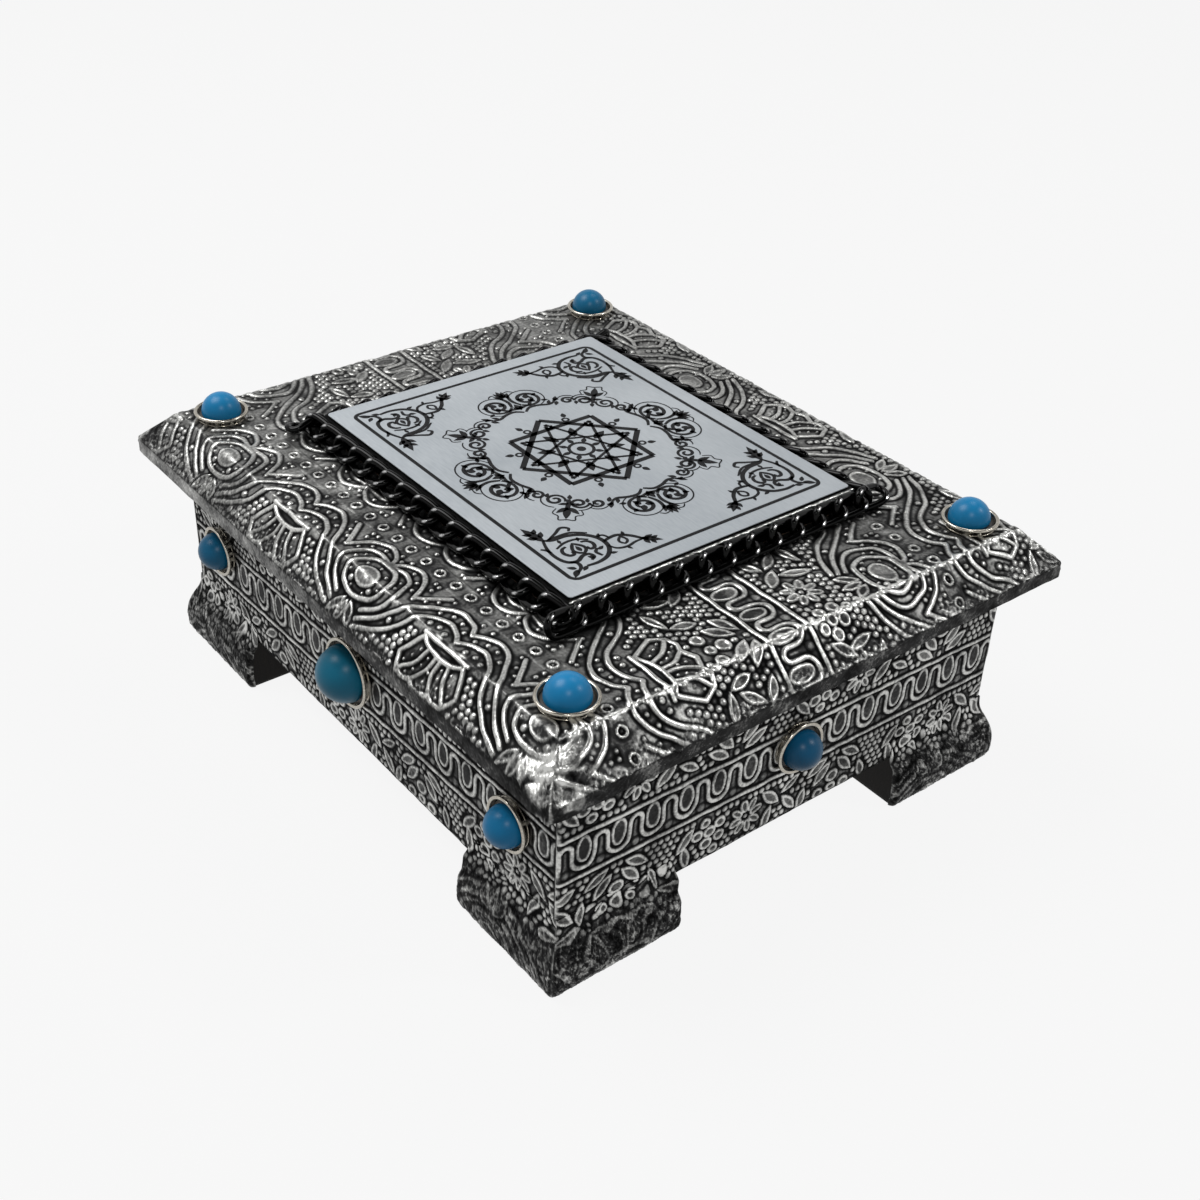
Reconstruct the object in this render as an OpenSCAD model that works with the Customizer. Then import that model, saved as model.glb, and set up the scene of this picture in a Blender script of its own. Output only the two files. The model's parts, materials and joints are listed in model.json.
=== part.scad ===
// Quran box: a wooden case and hinged lid clad in embossed foil,
// with a raised title plate, a curb chain round it and cabochon stones.
// Millimetres. +Z is up, the front is -Y, the origin is the middle of the floor under the feet.

/* [Case] */
// Width of the case over its foil, left to right
case_w = 148; // [120:1:220]
// Depth of the case over its foil, front to back
case_d = 180; // [150:1:260]
// Height of the side walls
wall_h = 47; // [35:1:90]
// Thickness of the wall boards
wall_t = 9; // [7:0.5:14]
// Thickness of the floor board
floor_t = 5; // [3:0.5:10]
// Thickness of the embossed foil with its relief
foil_t = 0.8; // [0.5:0.1:1.5]

/* [Feet] */
// Length of a foot along each wall
foot_len = 40; // [30:1:55]
// Height of a foot
foot_h = 15; // [11:0.5:30]
// How far a foot stands out past the wall
foot_bulge = 4; // [2:0.5:7]
// Radius of the rounded shoulder of a foot
foot_round = 6; // [4:0.5:9]

/* [Lid] */
// Overhang of the lid past the left and right walls
overhang_x = 11; // [8:0.5:18]
// Overhang of the lid past the front and back walls
overhang_y = 10; // [8:0.5:18]
// Height of the lid's upright edge
lid_edge_h = 4; // [3.5:0.5:10]
// Height of the lid's bevel
bevel_h = 9; // [5:0.5:16]
// Width of the lid's bevel, seen from above
bevel_run = 10; // [6:0.5:16]
// Radius of the lid's corners, seen from above
lid_corner_r = 3; // [1.5:0.5:8]
// Gap between the wall tops and the lid
lid_gap = 0.2; // [0.1:0.05:0.5]

/* [Title plate] */
// Width of the title plate
plate_w = 92.6; // [60:0.2:110]
// Depth of the title plate
plate_d = 111.6; // [80:0.2:135]
// Thickness of the title plate
plate_t = 0.8; // [0.5:0.1:2]
// Height of the board under the title plate
riser_h = 5; // [4:0.5:10]
// How far the clad board stands out past the plate
riser_margin = 1; // [0.8:0.1:3]

/* [Chain] */
// Thickness of the chain's wire
wire_d = 1.8; // [1.2:0.1:2]
// Overall length of a link
link_len = 11.5; // [11:0.1:14]
// Overall width of a link's bow
link_w = 7.2; // [6.6:0.1:8]
// Room between a chain link and what it lies beside
chain_gap = 0.2; // [0.1:0.05:0.5]
// Least play between neighbouring links
link_slack = 0.2; // [0.15:0.05:0.5]

/* [Stones] */
// Diameter of the small cabochons
stone_d = 11; // [8:0.5:13]
// Diameter of the large cabochons in the middle of the side walls
big_stone_d = 16; // [12:0.5:18]
// How much wider a bezel's rim is than its stone
bezel_extra = 4; // [3:0.5:6]
// Height of a bezel's rim
bezel_h = 2.2; // [1.5:0.1:3]
// Thickness of a bezel's metal
bezel_t = 0.6; // [0.4:0.1:0.8]
// Distance of the lid's stones from the left and right creases of the lid
lid_stone_in_x = 9; // [9:0.5:14]
// Distance of the lid's stones from the front and back creases of the lid
lid_stone_in_y = 9; // [9:0.5:14]
// Distance of the outer wall stones from the corners of the case
wall_stone_in = 18; // [12:0.5:26]
// Height of the wall stones below the top of the wall
wall_stone_drop = 24; // [15:0.5:32]

/* [Hinges] */
// Distance of the middle of each hinge from the side of the case
hinge_in = 32; // [24:1:44]
// Length of a hinge
hinge_len = 25; // [20:1:32]
// Diameter of a hinge barrel
barrel_d = 4; // [3.6:0.1:4.6]
// Diameter of a hinge pin
pin_d = 2; // [1.6:0.1:2.4]
// Thickness of a hinge leaf
leaf_t = 1; // [0.8:0.1:1.4]
// Distance of the hinge screws from the ends of the hinge
screw_in = 5; // [3.5:0.5:8]
// Running clearance of the pin in the knuckles, on the radius
pin_fit = 0.05; // [0.02:0.01:0.1]
// Gap between neighbouring knuckles
knuckle_gap = 0.3; // [0.2:0.05:0.6]
// Room round the barrel
barrel_room = 0.4; // [0.3:0.1:0.8]

/* [Lining] */
// Thickness of the velvet pads on the floor and in the lid
pad_t = 2; // [1:0.5:4]
// Thickness of the velvet cards on the walls
card_t = 1.5; // [1:0.25:3]
// How far the wall cards end below the top of the wall
card_drop = 4; // [4:0.5:8]
// Side clearance of the velvet pad in the lid
pad_gap = 1; // [0.6:0.1:3]

/* [Hidden] */
$fn = 48;

// Heights from the floor
wall_top = foot_h + wall_h;
lid_under = wall_top + lid_gap;
bevel_foot = lid_under + lid_edge_h;
lid_top = bevel_foot + bevel_h;
riser_top = lid_top + riser_h;

// Sizes over and under the foil
board_w = case_w - 2 * foil_t;
board_d = case_d - 2 * foil_t;
inner_w = board_w - 2 * wall_t;
inner_d = board_d - 2 * wall_t;
lid_w = case_w + 2 * overhang_x;
lid_d = case_d + 2 * overhang_y;
top_w = lid_w - 2 * bevel_run;
top_d = lid_d - 2 * bevel_run;
riser_w = plate_w + 2 * riser_margin;
riser_d = plate_d + 2 * riser_margin;

// How far a cutting shape runs past what it cuts
over = 1;

// The foot foil stops just above the floor, so that the wood carries the box
foil_lift = 0.5;

// Hinge axis, just behind the back wall and in the middle of the lid gap
hinge_x = case_w / 2 - hinge_in;
barrel_r = barrel_d / 2;
pin_r = pin_d / 2;
axis_y = case_d / 2 + barrel_room + barrel_r;
axis_z = wall_top + lid_gap / 2;
knuckle = (hinge_len - 2 * knuckle_gap) / 3;
leaf_edge = 0.8;
leaf_in = wall_t - leaf_edge;
leaf_inner_y = case_d / 2 - foil_t - leaf_in;
pocket_gap = 0.1;
pin_head_lap = 0.5;
pin_head_r = pin_r + pin_head_lap;
pin_head_t = 0.6;
pin_head_gap = 0.1;

// Countersunk screws through the hinge leaves
screw_r = 0.9;
screw_head_r = 1.7;
screw_head_h = 0.8;
screw_len = 8;
screw_fit = 0.05;
screw_x = hinge_len / 2 - screw_in;
screw_y = leaf_inner_y + leaf_in / 2;

// Chain links: flat loops of wire, each turned a quarter turn from the next, so that they stand
// at 45 degrees to the lid and lean on the riser
wire_r = wire_d / 2;
bow_r = (link_w - wire_d) / 2;
bow_x = (link_len - wire_d) / 2 - bow_r;
pitch_max = link_len - 2 * wire_d - link_slack;
chain_half = bow_r * cos(45) + wire_r;
chain_x = riser_w / 2 + chain_gap + chain_half;
chain_y = riser_d / 2 + chain_gap + chain_half;
chain_z = lid_top + chain_gap + chain_half;

// Centres of the stones
lid_stone_x = top_w / 2 - lid_stone_in_x;
lid_stone_y = top_d / 2 - lid_stone_in_y;
wall_stone_y = case_d / 2 - wall_stone_in;
wall_stone_z = wall_top - wall_stone_drop;
stone_foot = 1;

// Colours
wood = "#5a4430";
black = "#161616";
silver = "#8c8c8a";
velvet = "#4a1620";
turquoise = "#1f86c2";
nickel = "#a39c8b";
gunmetal = "#1a1a1c";
plate_blue = "#b7bec6";
brass = "#b08d4a";

// A plain box between two corners
module block(low, high) {
    translate(low) cube(high - low);
}

// Case boards

module side_wall(side) {
    color(wood) mirror([side < 0 ? 1 : 0, 0, 0])
        block([inner_w / 2, -board_d / 2, foot_h], [board_w / 2, board_d / 2, wall_top]);
}

module end_wall(side) {
    mirror([0, side < 0 ? 1 : 0, 0])
        block([-inner_w / 2, inner_d / 2, foot_h], [inner_w / 2, board_d / 2, wall_top]);
}

module left_wall() side_wall(-1);
module right_wall() side_wall(1);
module front_wall() color(wood) end_wall(-1);
module back_wall() color(wood) difference() {
    end_wall(1);
    for (side = [-1, 1]) {
        case_leaf_pocket(side);
        screw_holes(side, -1);
    }
}

module floor_board() color(wood)
    block([-inner_w / 2, -inner_d / 2, foot_h], [inner_w / 2, inner_d / 2, foot_h + floor_t]);

// Foil on the walls: the front and back sheets lap the ends of the side sheets

module end_foil(side) {
    mirror([0, side < 0 ? 1 : 0, 0])
        block([-case_w / 2, board_d / 2, foot_h], [case_w / 2, case_d / 2, wall_top]);
}

module side_foil(side) {
    color(silver) mirror([side < 0 ? 1 : 0, 0, 0])
        block([board_w / 2, -board_d / 2, foot_h], [case_w / 2, board_d / 2, wall_top]);
}

module left_foil() side_foil(-1);
module right_foil() side_foil(1);
module front_foil() color(silver) end_foil(-1);
module back_foil() color(silver) difference() {
    end_foil(1);
    for (side = [-1, 1]) case_leaf_pocket(side);
}

// Feet: square corner blocks with a rounded shoulder on the two outer sides

// Section of a foot across one wall; face is its outer face, u runs outwards
module foot_section(inner, face, r, low) {
    centre = [face - r, foot_h - foot_round];
    translate([inner, low]) square([face - r - inner, foot_h - low]);
    translate([inner, low]) square([face - inner, foot_h - foot_round - low]);
    intersection() {
        translate(centre) circle(r);
        translate(centre) square(2 * r);
    }
}

// A foot's shape with its outer faces at face_x and face_y
module foot_shape(grow, r, low) {
    face_x = case_w / 2 + foot_bulge + grow;
    face_y = case_d / 2 + foot_bulge + grow;
    inner_x = case_w / 2 + foot_bulge - foot_len;
    inner_y = case_d / 2 + foot_bulge - foot_len;
    intersection() {
        translate([0, face_y + over, 0]) rotate([90, 0, 0])
            linear_extrude(foot_len + 2 * over) foot_section(inner_x, face_x, r, low);
        translate([inner_x - over, 0, 0]) rotate([90, 0, 90])
            linear_extrude(foot_len + 2 * over) foot_section(inner_y, face_y, r, low);
        block([inner_x, inner_y, low], [face_x, face_y, foot_h]);
    }
}

module foot_core() foot_shape(-foil_t, foot_round - foil_t, 0);

module foot(sx, sy) {
    color(black) mirror([sx < 0 ? 1 : 0, 0, 0]) mirror([0, sy < 0 ? 1 : 0, 0]) foot_core();
}

module foot_foil(sx, sy) {
    color(silver) mirror([sx < 0 ? 1 : 0, 0, 0]) mirror([0, sy < 0 ? 1 : 0, 0]) difference() {
        foot_shape(0, foot_round, foil_lift);
        foot_core();
    }
}

// Velvet lining

card_low = foot_h + floor_t + pad_t;
card_high = wall_top - card_drop;

module floor_pad() color(velvet)
    block([-inner_w / 2, -inner_d / 2, foot_h + floor_t], [inner_w / 2, inner_d / 2, card_low]);

module side_card(side) {
    color(velvet) mirror([side < 0 ? 1 : 0, 0, 0])
        block([inner_w / 2 - card_t, -inner_d / 2, card_low], [inner_w / 2, inner_d / 2, card_high]);
}

module end_card(side) {
    x = inner_w / 2 - card_t;
    color(velvet) mirror([0, side < 0 ? 1 : 0, 0])
        block([-x, inner_d / 2 - card_t, card_low], [x, inner_d / 2, card_high]);
}

// Cabochons in bezel cups, standing on z = 0

module bezel(d) {
    rim = d / 2 + bezel_extra / 2;
    base = rim - bezel_h / 2;
    rotate_extrude() polygon([
        [0, 0], [base, 0], [rim, bezel_h], [rim - bezel_t, bezel_h], [base - bezel_t, bezel_t], [0, bezel_t]
    ]);
}

module stone(d) {
    color(turquoise) translate([0, 0, bezel_t]) {
        cylinder(d = d, h = stone_foot);
        translate([0, 0, stone_foot]) intersection() {
            sphere(d = d);
            cylinder(d = 2 * d, h = d);
        }
    }
}

// Puts its children on a side wall, at a place along the wall
module on_side(side, y) {
    translate([side * case_w / 2, y, wall_stone_z]) rotate([0, side * 90, 0]) children();
}

module on_front() {
    translate([0, -case_d / 2, wall_stone_z]) rotate([90, 0, 0]) children();
}

module on_lid(sx, sy) {
    translate([sx * lid_stone_x, sy * lid_stone_y, lid_top]) children();
}

module side_bezels(side) {
    color(nickel) {
        on_side(side, -wall_stone_y) bezel(stone_d);
        on_side(side, 0) bezel(big_stone_d);
        on_side(side, wall_stone_y) bezel(stone_d);
    }
}

module front_bezel() color(nickel) on_front() bezel(stone_d);

module lid_bezels() {
    color(nickel) for (sx = [-1, 1], sy = [-1, 1]) on_lid(sx, sy) bezel(stone_d);
}

// Lid

// The lid's section across a given width, grown outwards by grow on every face but its underside
module lid_section(width, grow) {
    slant = norm([bevel_run, bevel_h]);
    foot = width / 2 + grow;
    foot_z = bevel_foot + grow * (slant - bevel_h) / bevel_run;
    top = width / 2 - bevel_run + grow * (slant - bevel_run) / bevel_h;
    polygon([
        [-foot, lid_under], [foot, lid_under], [foot, foot_z],
        [top, lid_top + grow], [-top, lid_top + grow], [-foot, foot_z]
    ]);
}

// An upright block with round corners, w by d, centred
module round_block(w, d, r, low, high) {
    block([r - w / 2, -d / 2, low], [w / 2 - r, d / 2, high]);
    block([-w / 2, r - d / 2, low], [w / 2, d / 2 - r, high]);
    for (sx = [-1, 1], sy = [-1, 1])
        translate([sx * (w / 2 - r), sy * (d / 2 - r), low]) cylinder(r = r, h = high - low);
}

// A slab bevelled on all four sides, with mitred hips and round corners
module lid_slab(grow) {
    intersection() {
        round_block(lid_w + 2 * grow, lid_d + 2 * grow, lid_corner_r + grow, lid_under - over, lid_top + over);
        translate([0, lid_d / 2 + over, 0]) rotate([90, 0, 0])
            linear_extrude(lid_d + 2 * over) lid_section(lid_w, grow);
        translate([-lid_w / 2 - over, 0, 0]) rotate([90, 0, 90])
            linear_extrude(lid_w + 2 * over) lid_section(lid_d, grow);
    }
}

module lid_board() color(wood) difference() {
    lid_slab(-foil_t);
    for (side = [-1, 1]) {
        lid_leaf_pocket(side);
        screw_holes(side, 1);
    }
}

module lid_foil() color(silver) difference() {
    lid_slab(0);
    lid_slab(-foil_t);
}

module lid_pad() color(velvet) {
    x = inner_w / 2 - pad_gap;
    y = inner_d / 2 - pad_gap;
    block([-x, -y, lid_under - pad_t], [x, y, lid_under]);
}

// Raised title plate

module riser_board() color(wood) {
    x = riser_w / 2 - foil_t;
    y = riser_d / 2 - foil_t;
    block([-x, -y, lid_top], [x, y, riser_top]);
}

module riser_foil() color(silver) difference() {
    block([-riser_w / 2, -riser_d / 2, lid_top], [riser_w / 2, riser_d / 2, riser_top]);
    block([foil_t - riser_w / 2, foil_t - riser_d / 2, lid_top - over],
        [riser_w / 2 - foil_t, riser_d / 2 - foil_t, riser_top + over]);
}

module title_plate() color(plate_blue)
    block([-plate_w / 2, -plate_d / 2, riser_top], [plate_w / 2, plate_d / 2, riser_top + plate_t]);

// Chain: four cut lengths, the front and back ones lapping the ends of the side ones

module bow() {
    translate([bow_x, 0, 0]) rotate([0, 0, -90])
        rotate_extrude(angle = 180) translate([bow_r, 0]) circle(wire_r);
}

// A link lying flat along X
module link() {
    for (end = [0, 1]) mirror([end, 0, 0]) bow();
    for (side = [-1, 1])
        translate([0, side * bow_r, 0]) rotate([0, 90, 0]) cylinder(r = wire_r, h = 2 * bow_x, center = true);
}

// As many whole links as fill a length along X, centred
module chain_run(length) {
    count = ceil((length - link_len) / pitch_max) + 1;
    pitch = (length - link_len) / (count - 1);
    color(gunmetal) for (i = [0 : count - 1])
        translate([(i - (count - 1) / 2) * pitch, 0, 0]) rotate([i % 2 == 0 ? 45 : -45, 0, 0]) link();
}

module chain_end(side) {
    translate([0, side * chain_y, chain_z]) chain_run(2 * (chain_x + chain_half));
}

module chain_side(side) {
    translate([side * chain_x, 0, chain_z]) rotate([0, 0, 90]) chain_run(riser_d);
}

// Hinges

module case_leaf_pocket(side) {
    x = hinge_len / 2 + pocket_gap;
    block([side * hinge_x - x, leaf_inner_y - pocket_gap, wall_top - leaf_t],
        [side * hinge_x + x, case_d / 2 + over, wall_top + over]);
}

module lid_leaf_pocket(side) {
    x = hinge_len / 2 + pocket_gap;
    room = hinge_len / 2 + pin_head_gap + pin_head_t + barrel_room;
    block([side * hinge_x - x, leaf_inner_y - pocket_gap, lid_under - over],
        [side * hinge_x + x, axis_y, lid_under + leaf_t]);
    translate([side * hinge_x, axis_y, axis_z]) rotate([0, 90, 0])
        cylinder(r = barrel_r + barrel_room, h = 2 * room, center = true);
}

// Screws lie in the case below the lid gap (up = -1) or in the lid above it (up = 1)
module at_screws(side, up) {
    face = up > 0 ? lid_under : wall_top;
    for (end = [-1, 1])
        translate([side * hinge_x + end * screw_x, screw_y, face]) mirror([0, 0, up < 0 ? 1 : 0]) children();
}

module screw_solid(fit) {
    cylinder(r1 = screw_head_r + fit, r2 = screw_r + fit, h = screw_head_h);
    cylinder(r = screw_r + fit, h = screw_len + fit);
}

module screw_holes(side, up) at_screws(side, up) screw_solid(screw_fit);

module hinge_screws(up) {
    color(brass) for (side = [-1, 1]) at_screws(side, up) translate([0, 0, screw_fit]) screw_solid(0);
}

// One knuckle of the barrel, from x = low to x = high of the hinge's own length
module knuckle_tube(low, high) {
    translate([low, axis_y, axis_z]) rotate([0, 90, 0]) cylinder(r = barrel_r, h = high - low);
}

module hinge_bore() {
    translate([0, axis_y, axis_z]) rotate([0, 90, 0])
        cylinder(r = pin_r + pin_fit, h = hinge_len + 2 * over, center = true);
}

// Leaf plate that reaches the barrel only where its own knuckles are
module leaf_plate(low_z, spans) {
    plate_y = axis_y - barrel_r - barrel_room;
    block([-hinge_len / 2, leaf_inner_y, low_z], [hinge_len / 2, plate_y, low_z + leaf_t]);
    for (span = spans)
        block([span[0], leaf_inner_y, low_z], [span[1], axis_y, low_z + leaf_t]);
}

module hinge_leaf(side, up, spans) {
    low_z = up > 0 ? lid_under : wall_top - leaf_t;
    color(brass) difference() {
        translate([side * hinge_x, 0, 0]) difference() {
            union() {
                leaf_plate(low_z, spans);
                for (span = spans) knuckle_tube(span[0], span[1]);
            }
            hinge_bore();
        }
        screw_holes(side, up);
    }
}

module case_leaf(side) {
    half = hinge_len / 2;
    hinge_leaf(side, -1, [[-half, knuckle - half], [half - knuckle, half]]);
}

module lid_leaf(side) hinge_leaf(side, 1, [[-knuckle / 2, knuckle / 2]]);

module hinge_pin(side) {
    color(brass) translate([side * hinge_x, axis_y, axis_z]) rotate([0, 90, 0]) {
        cylinder(r = pin_r, h = hinge_len + pin_head_t, center = true);
        for (end = [-1, 1])
            translate([0, 0, end * (hinge_len / 2 + pin_head_gap + pin_head_t / 2)])
                cylinder(r = pin_head_r, h = pin_head_t, center = true);
    }
}

front_wall();
back_wall();
left_wall();
right_wall();
floor_board();
front_foil();
back_foil();
left_foil();
right_foil();
foot(-1, -1);  // foot_front_left
foot(1, -1);  // foot_front_right
foot(-1, 1);  // foot_back_left
foot(1, 1);  // foot_back_right
foot_foil(-1, -1);  // foot_foil_front_left
foot_foil(1, -1);  // foot_foil_front_right
foot_foil(-1, 1);  // foot_foil_back_left
foot_foil(1, 1);  // foot_foil_back_right
floor_pad();
end_card(-1);  // front_card
end_card(1);  // back_card
side_card(-1);  // left_card
side_card(1);  // right_card
side_bezels(-1);  // left_bezels
side_bezels(1);  // right_bezels
front_bezel();
on_side(-1, -wall_stone_y) stone(stone_d);  // left_stone_front
on_side(-1, 0) stone(big_stone_d);  // left_stone_middle
on_side(-1, wall_stone_y) stone(stone_d);  // left_stone_back
on_side(1, -wall_stone_y) stone(stone_d);  // right_stone_front
on_side(1, 0) stone(big_stone_d);  // right_stone_middle
on_side(1, wall_stone_y) stone(stone_d);  // right_stone_back
on_front() stone(stone_d);  // front_stone
case_leaf(-1);  // left_hinge_case_leaf
case_leaf(1);  // right_hinge_case_leaf
hinge_pin(-1);  // left_hinge_pin
hinge_pin(1);  // right_hinge_pin
hinge_screws(-1);  // case_hinge_screws
lid_board();
lid_foil();
riser_board();
riser_foil();
title_plate();
chain_end(-1);  // chain_front
chain_end(1);  // chain_back
chain_side(-1);  // chain_left
chain_side(1);  // chain_right
lid_bezels();
on_lid(-1, -1) stone(stone_d);  // lid_stone_front_left
on_lid(1, -1) stone(stone_d);  // lid_stone_front_right
on_lid(-1, 1) stone(stone_d);  // lid_stone_back_left
on_lid(1, 1) stone(stone_d);  // lid_stone_back_right
lid_pad();
lid_leaf(-1);  // left_hinge_lid_leaf
lid_leaf(1);  // right_hinge_lid_leaf
hinge_screws(1);  // lid_hinge_screws
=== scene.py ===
# %% [markdown]
# A footed book box: a wooden case and a hinged, bevelled lid, clad in embossed aluminium foil that was
# painted black and wiped, so that the ornament shines and the ground stays dark. On the lid a printed
# plate sits on a raised board, with a black curb chain round it, and turquoise cabochons sit in nickel
# cups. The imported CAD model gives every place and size. This lesson dresses it: first the view and the
# light, then the finishes, then the pieces one by one.

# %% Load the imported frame
import json
import math

import bpy
import numpy as np
from mathutils import Matrix, Vector


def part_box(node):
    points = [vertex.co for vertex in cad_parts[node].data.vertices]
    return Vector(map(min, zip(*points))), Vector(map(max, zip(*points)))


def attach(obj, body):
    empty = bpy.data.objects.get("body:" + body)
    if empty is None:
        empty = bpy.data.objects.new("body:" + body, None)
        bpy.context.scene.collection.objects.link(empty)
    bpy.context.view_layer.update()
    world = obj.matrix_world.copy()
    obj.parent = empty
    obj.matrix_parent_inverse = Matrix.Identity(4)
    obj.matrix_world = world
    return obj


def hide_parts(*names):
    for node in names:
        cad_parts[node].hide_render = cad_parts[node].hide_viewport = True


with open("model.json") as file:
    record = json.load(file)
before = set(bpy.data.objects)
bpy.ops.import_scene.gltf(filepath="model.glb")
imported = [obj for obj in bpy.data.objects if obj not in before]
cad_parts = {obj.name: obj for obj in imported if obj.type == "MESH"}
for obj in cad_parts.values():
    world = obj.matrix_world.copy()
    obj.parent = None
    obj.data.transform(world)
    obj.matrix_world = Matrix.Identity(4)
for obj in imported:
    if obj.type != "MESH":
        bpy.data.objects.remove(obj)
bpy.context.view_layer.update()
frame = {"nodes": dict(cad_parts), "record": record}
nodes = frame["nodes"]

# %% [markdown]
# Everything below is thought of in millimetres, as on the bench, and turned into Blender's metres only
# when a mesh is made. The sizes come from the boxes of the CAD nodes.

# %% Sizes that the frame gives
MM = 0.001


def corners(node):
    """Lowest and highest corner of a CAD node, in mm."""
    low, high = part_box(node)
    return np.array(low) / MM, np.array(high) / MM


lid_low, lid_high = corners("lid_foil")
riser_low, riser_high = corners("riser_foil")
plate_low, plate_high = corners("title_plate")
front_low, front_high = corners("front_foil")
left_low, _ = corners("left_foil")
print("lid", lid_high - lid_low, "case", 2 * front_high[0], 2 * -front_low[1], "mm")

# %% [markdown]
# The camera stands where the photographer stood, above the front left corner. Its place and turn came
# from matching the straight edges of the lid, plate and feet, so it is written as an eye point, a
# heading, a dip below the horizon and a slight roll of the hand.

# %% Camera
EYE = Vector((-236.2, -296.7, 287.2)) * MM
HEADING = math.radians(39.56)   # clockwise from straight ahead
DIP = math.radians(33.94)
ROLL = math.radians(2.60)
FOCAL = 47.66                   # mm on a 36 mm wide sensor

lens = bpy.data.cameras.new("view")
lens.sensor_width = 36
lens.lens = FOCAL
lens.clip_start = 0.01
camera = bpy.data.objects.new("view", lens)
bpy.context.scene.collection.objects.link(camera)
turn = Matrix.Rotation(-HEADING, 4, "Z") @ Matrix.Rotation(math.pi / 2 - DIP, 4, "X")
camera.matrix_world = Matrix.Translation(EYE) @ turn @ Matrix.Rotation(ROLL, 4, "Z")
bpy.context.scene.camera = camera
bpy.context.scene.view_settings.view_transform = "Standard"
print("camera at", [round(v, 3) for v in EYE], "m")

# %% [markdown]
# Two small helpers serve every finish. One turns a colour as a painter picks it, an sRGB hex value,
# into the linear numbers that Blender mixes. The other adds one node, sets its fields and fills its
# sockets, with a number or with what another node puts out.

# %% Helpers for the finishes
def colour(code):
    """Linear RGBA of an sRGB hex value."""
    parts = [int(code[i : i + 2], 16) / 255 for i in (1, 3, 5)]
    linear = [p / 12.92 if p <= 0.04045 else ((p + 0.055) / 1.055) ** 2.4 for p in parts]
    return (*linear, 1.0)


def add_node(tree, kind, inputs=(), stops=(), **fields):
    """Add one node. fields are its settings and stops the (place, hex colour) stops of a ramp.

    inputs maps a socket's name or number to a value, to another node or to one of its outputs.
    """
    node = tree.nodes.new(kind)
    for name, value in fields.items():
        setattr(node, name, value)
    while stops and len(node.color_ramp.elements) < len(stops):
        node.color_ramp.elements.new(1.0)
    for k, (place, code) in enumerate(stops):
        node.color_ramp.elements[k].position = place
        node.color_ramp.elements[k].color = colour(code)
    for socket, value in dict(inputs).items():
        if isinstance(value, bpy.types.Node):
            value = value.outputs[0]
        if isinstance(value, bpy.types.NodeSocket):
            tree.links.new(value, node.inputs[socket])
        else:
            node.inputs[socket].default_value = value
    return node


def blank_material(name):
    material = bpy.data.materials.new(name)
    material.use_nodes = True
    material.node_tree.nodes.clear()
    return material, material.node_tree


print("middle grey in linear light:", round(colour("#808080")[0], 3))

# %% [markdown]
# The studio is a pale sweep: one floor and one backdrop colour. A white floor under strong lamps would
# bleach the silver. So the floor shows most of its colour straight to the camera and to shiny metal, and
# the rest of it is ordinary matt paint, which keeps the box's shadow soft and faint.

# %% Floor and backdrop
PALE = colour("#ffffff")
PAINT = colour("#909090")
SHADOW_SHARE = 0.1    # how much of the floor is ordinary paint that takes a shadow
AMBIENT = 0.08        # soft light from all round
BACKDROP = 0.905      # as bright as the far floor, so that no horizon shows
FLOOR_HALF = 12.0     # m
SQUARE = [(-1, -1), (1, -1), (1, 1), (-1, 1)]


def seen_rays(tree):
    """1 for rays from the camera, or by way of shiny or clear things; 0 for light itself."""
    path = add_node(tree, "ShaderNodeLightPath").outputs
    two = add_node(tree, "ShaderNodeMath", {0: path["Is Camera Ray"], 1: path["Is Glossy Ray"]})
    three = {0: two, 1: path["Is Transmission Ray"]}
    return add_node(tree, "ShaderNodeMath", three, use_clamp=True)


world = bpy.data.worlds.new("studio")
world.use_nodes = True
world.node_tree.nodes.clear()
sky = world.node_tree
ambient = add_node(sky, "ShaderNodeBackground", {"Color": PALE, "Strength": AMBIENT})
backdrop = add_node(sky, "ShaderNodeBackground", {"Color": PALE, "Strength": BACKDROP})
sky_mix = add_node(sky, "ShaderNodeMixShader", {0: seen_rays(sky), 1: ambient, 2: backdrop})
add_node(sky, "ShaderNodeOutputWorld", {"Surface": sky_mix})
bpy.context.scene.world = world

floor_paint, tree = blank_material("matt_white_sweep")
paint = add_node(tree, "ShaderNodeBsdfDiffuse", {"Color": PAINT})
glow = add_node(tree, "ShaderNodeEmission", {"Color": PALE})
shown = {0: seen_rays(tree), 1: 1 - SHADOW_SHARE}
share = add_node(tree, "ShaderNodeMath", shown, operation="MULTIPLY")
floor_mix = add_node(tree, "ShaderNodeMixShader", {0: share, 1: paint, 2: glow})
add_node(tree, "ShaderNodeOutputMaterial", {"Surface": floor_mix})


def stage_square(name, half, middle_y, up, material):
    """A level square of the studio, which isn't part of the box."""
    mesh = bpy.data.meshes.new(name)
    points = [(half * x, half * y + middle_y, up) for x, y in SQUARE]
    mesh.from_pydata(points, [], [(0, 1, 2, 3)])
    mesh.materials.append(material)
    square = bpy.data.objects.new(name, mesh)
    bpy.context.scene.collection.objects.link(square)
    return square


stage_square("floor", FLOOR_HALF, 0, 0, floor_paint)
print("floor of", 2 * FLOOR_HALF, "m")

# %% [markdown]
# Four lamps light the box: a broad one overhead, a small bright one near the camera, one from the right,
# and one behind for the folds of the lid. Small lamps give the chain and the stones tight highlights.
# Silver shows whatever surrounds it, so, as for tableware, a dark flag hangs above the lamps: only
# mirror-like rays see it, and it gives the metal its blacks.

# %% Lamps and flag
FLAG_HALF = 1.5       # m
FLAG_BACK = -0.4      # m that the flag hangs towards the front
FLAG_UP = 1.35        # m
AIM = Vector((0, 0, 0.05))


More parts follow.
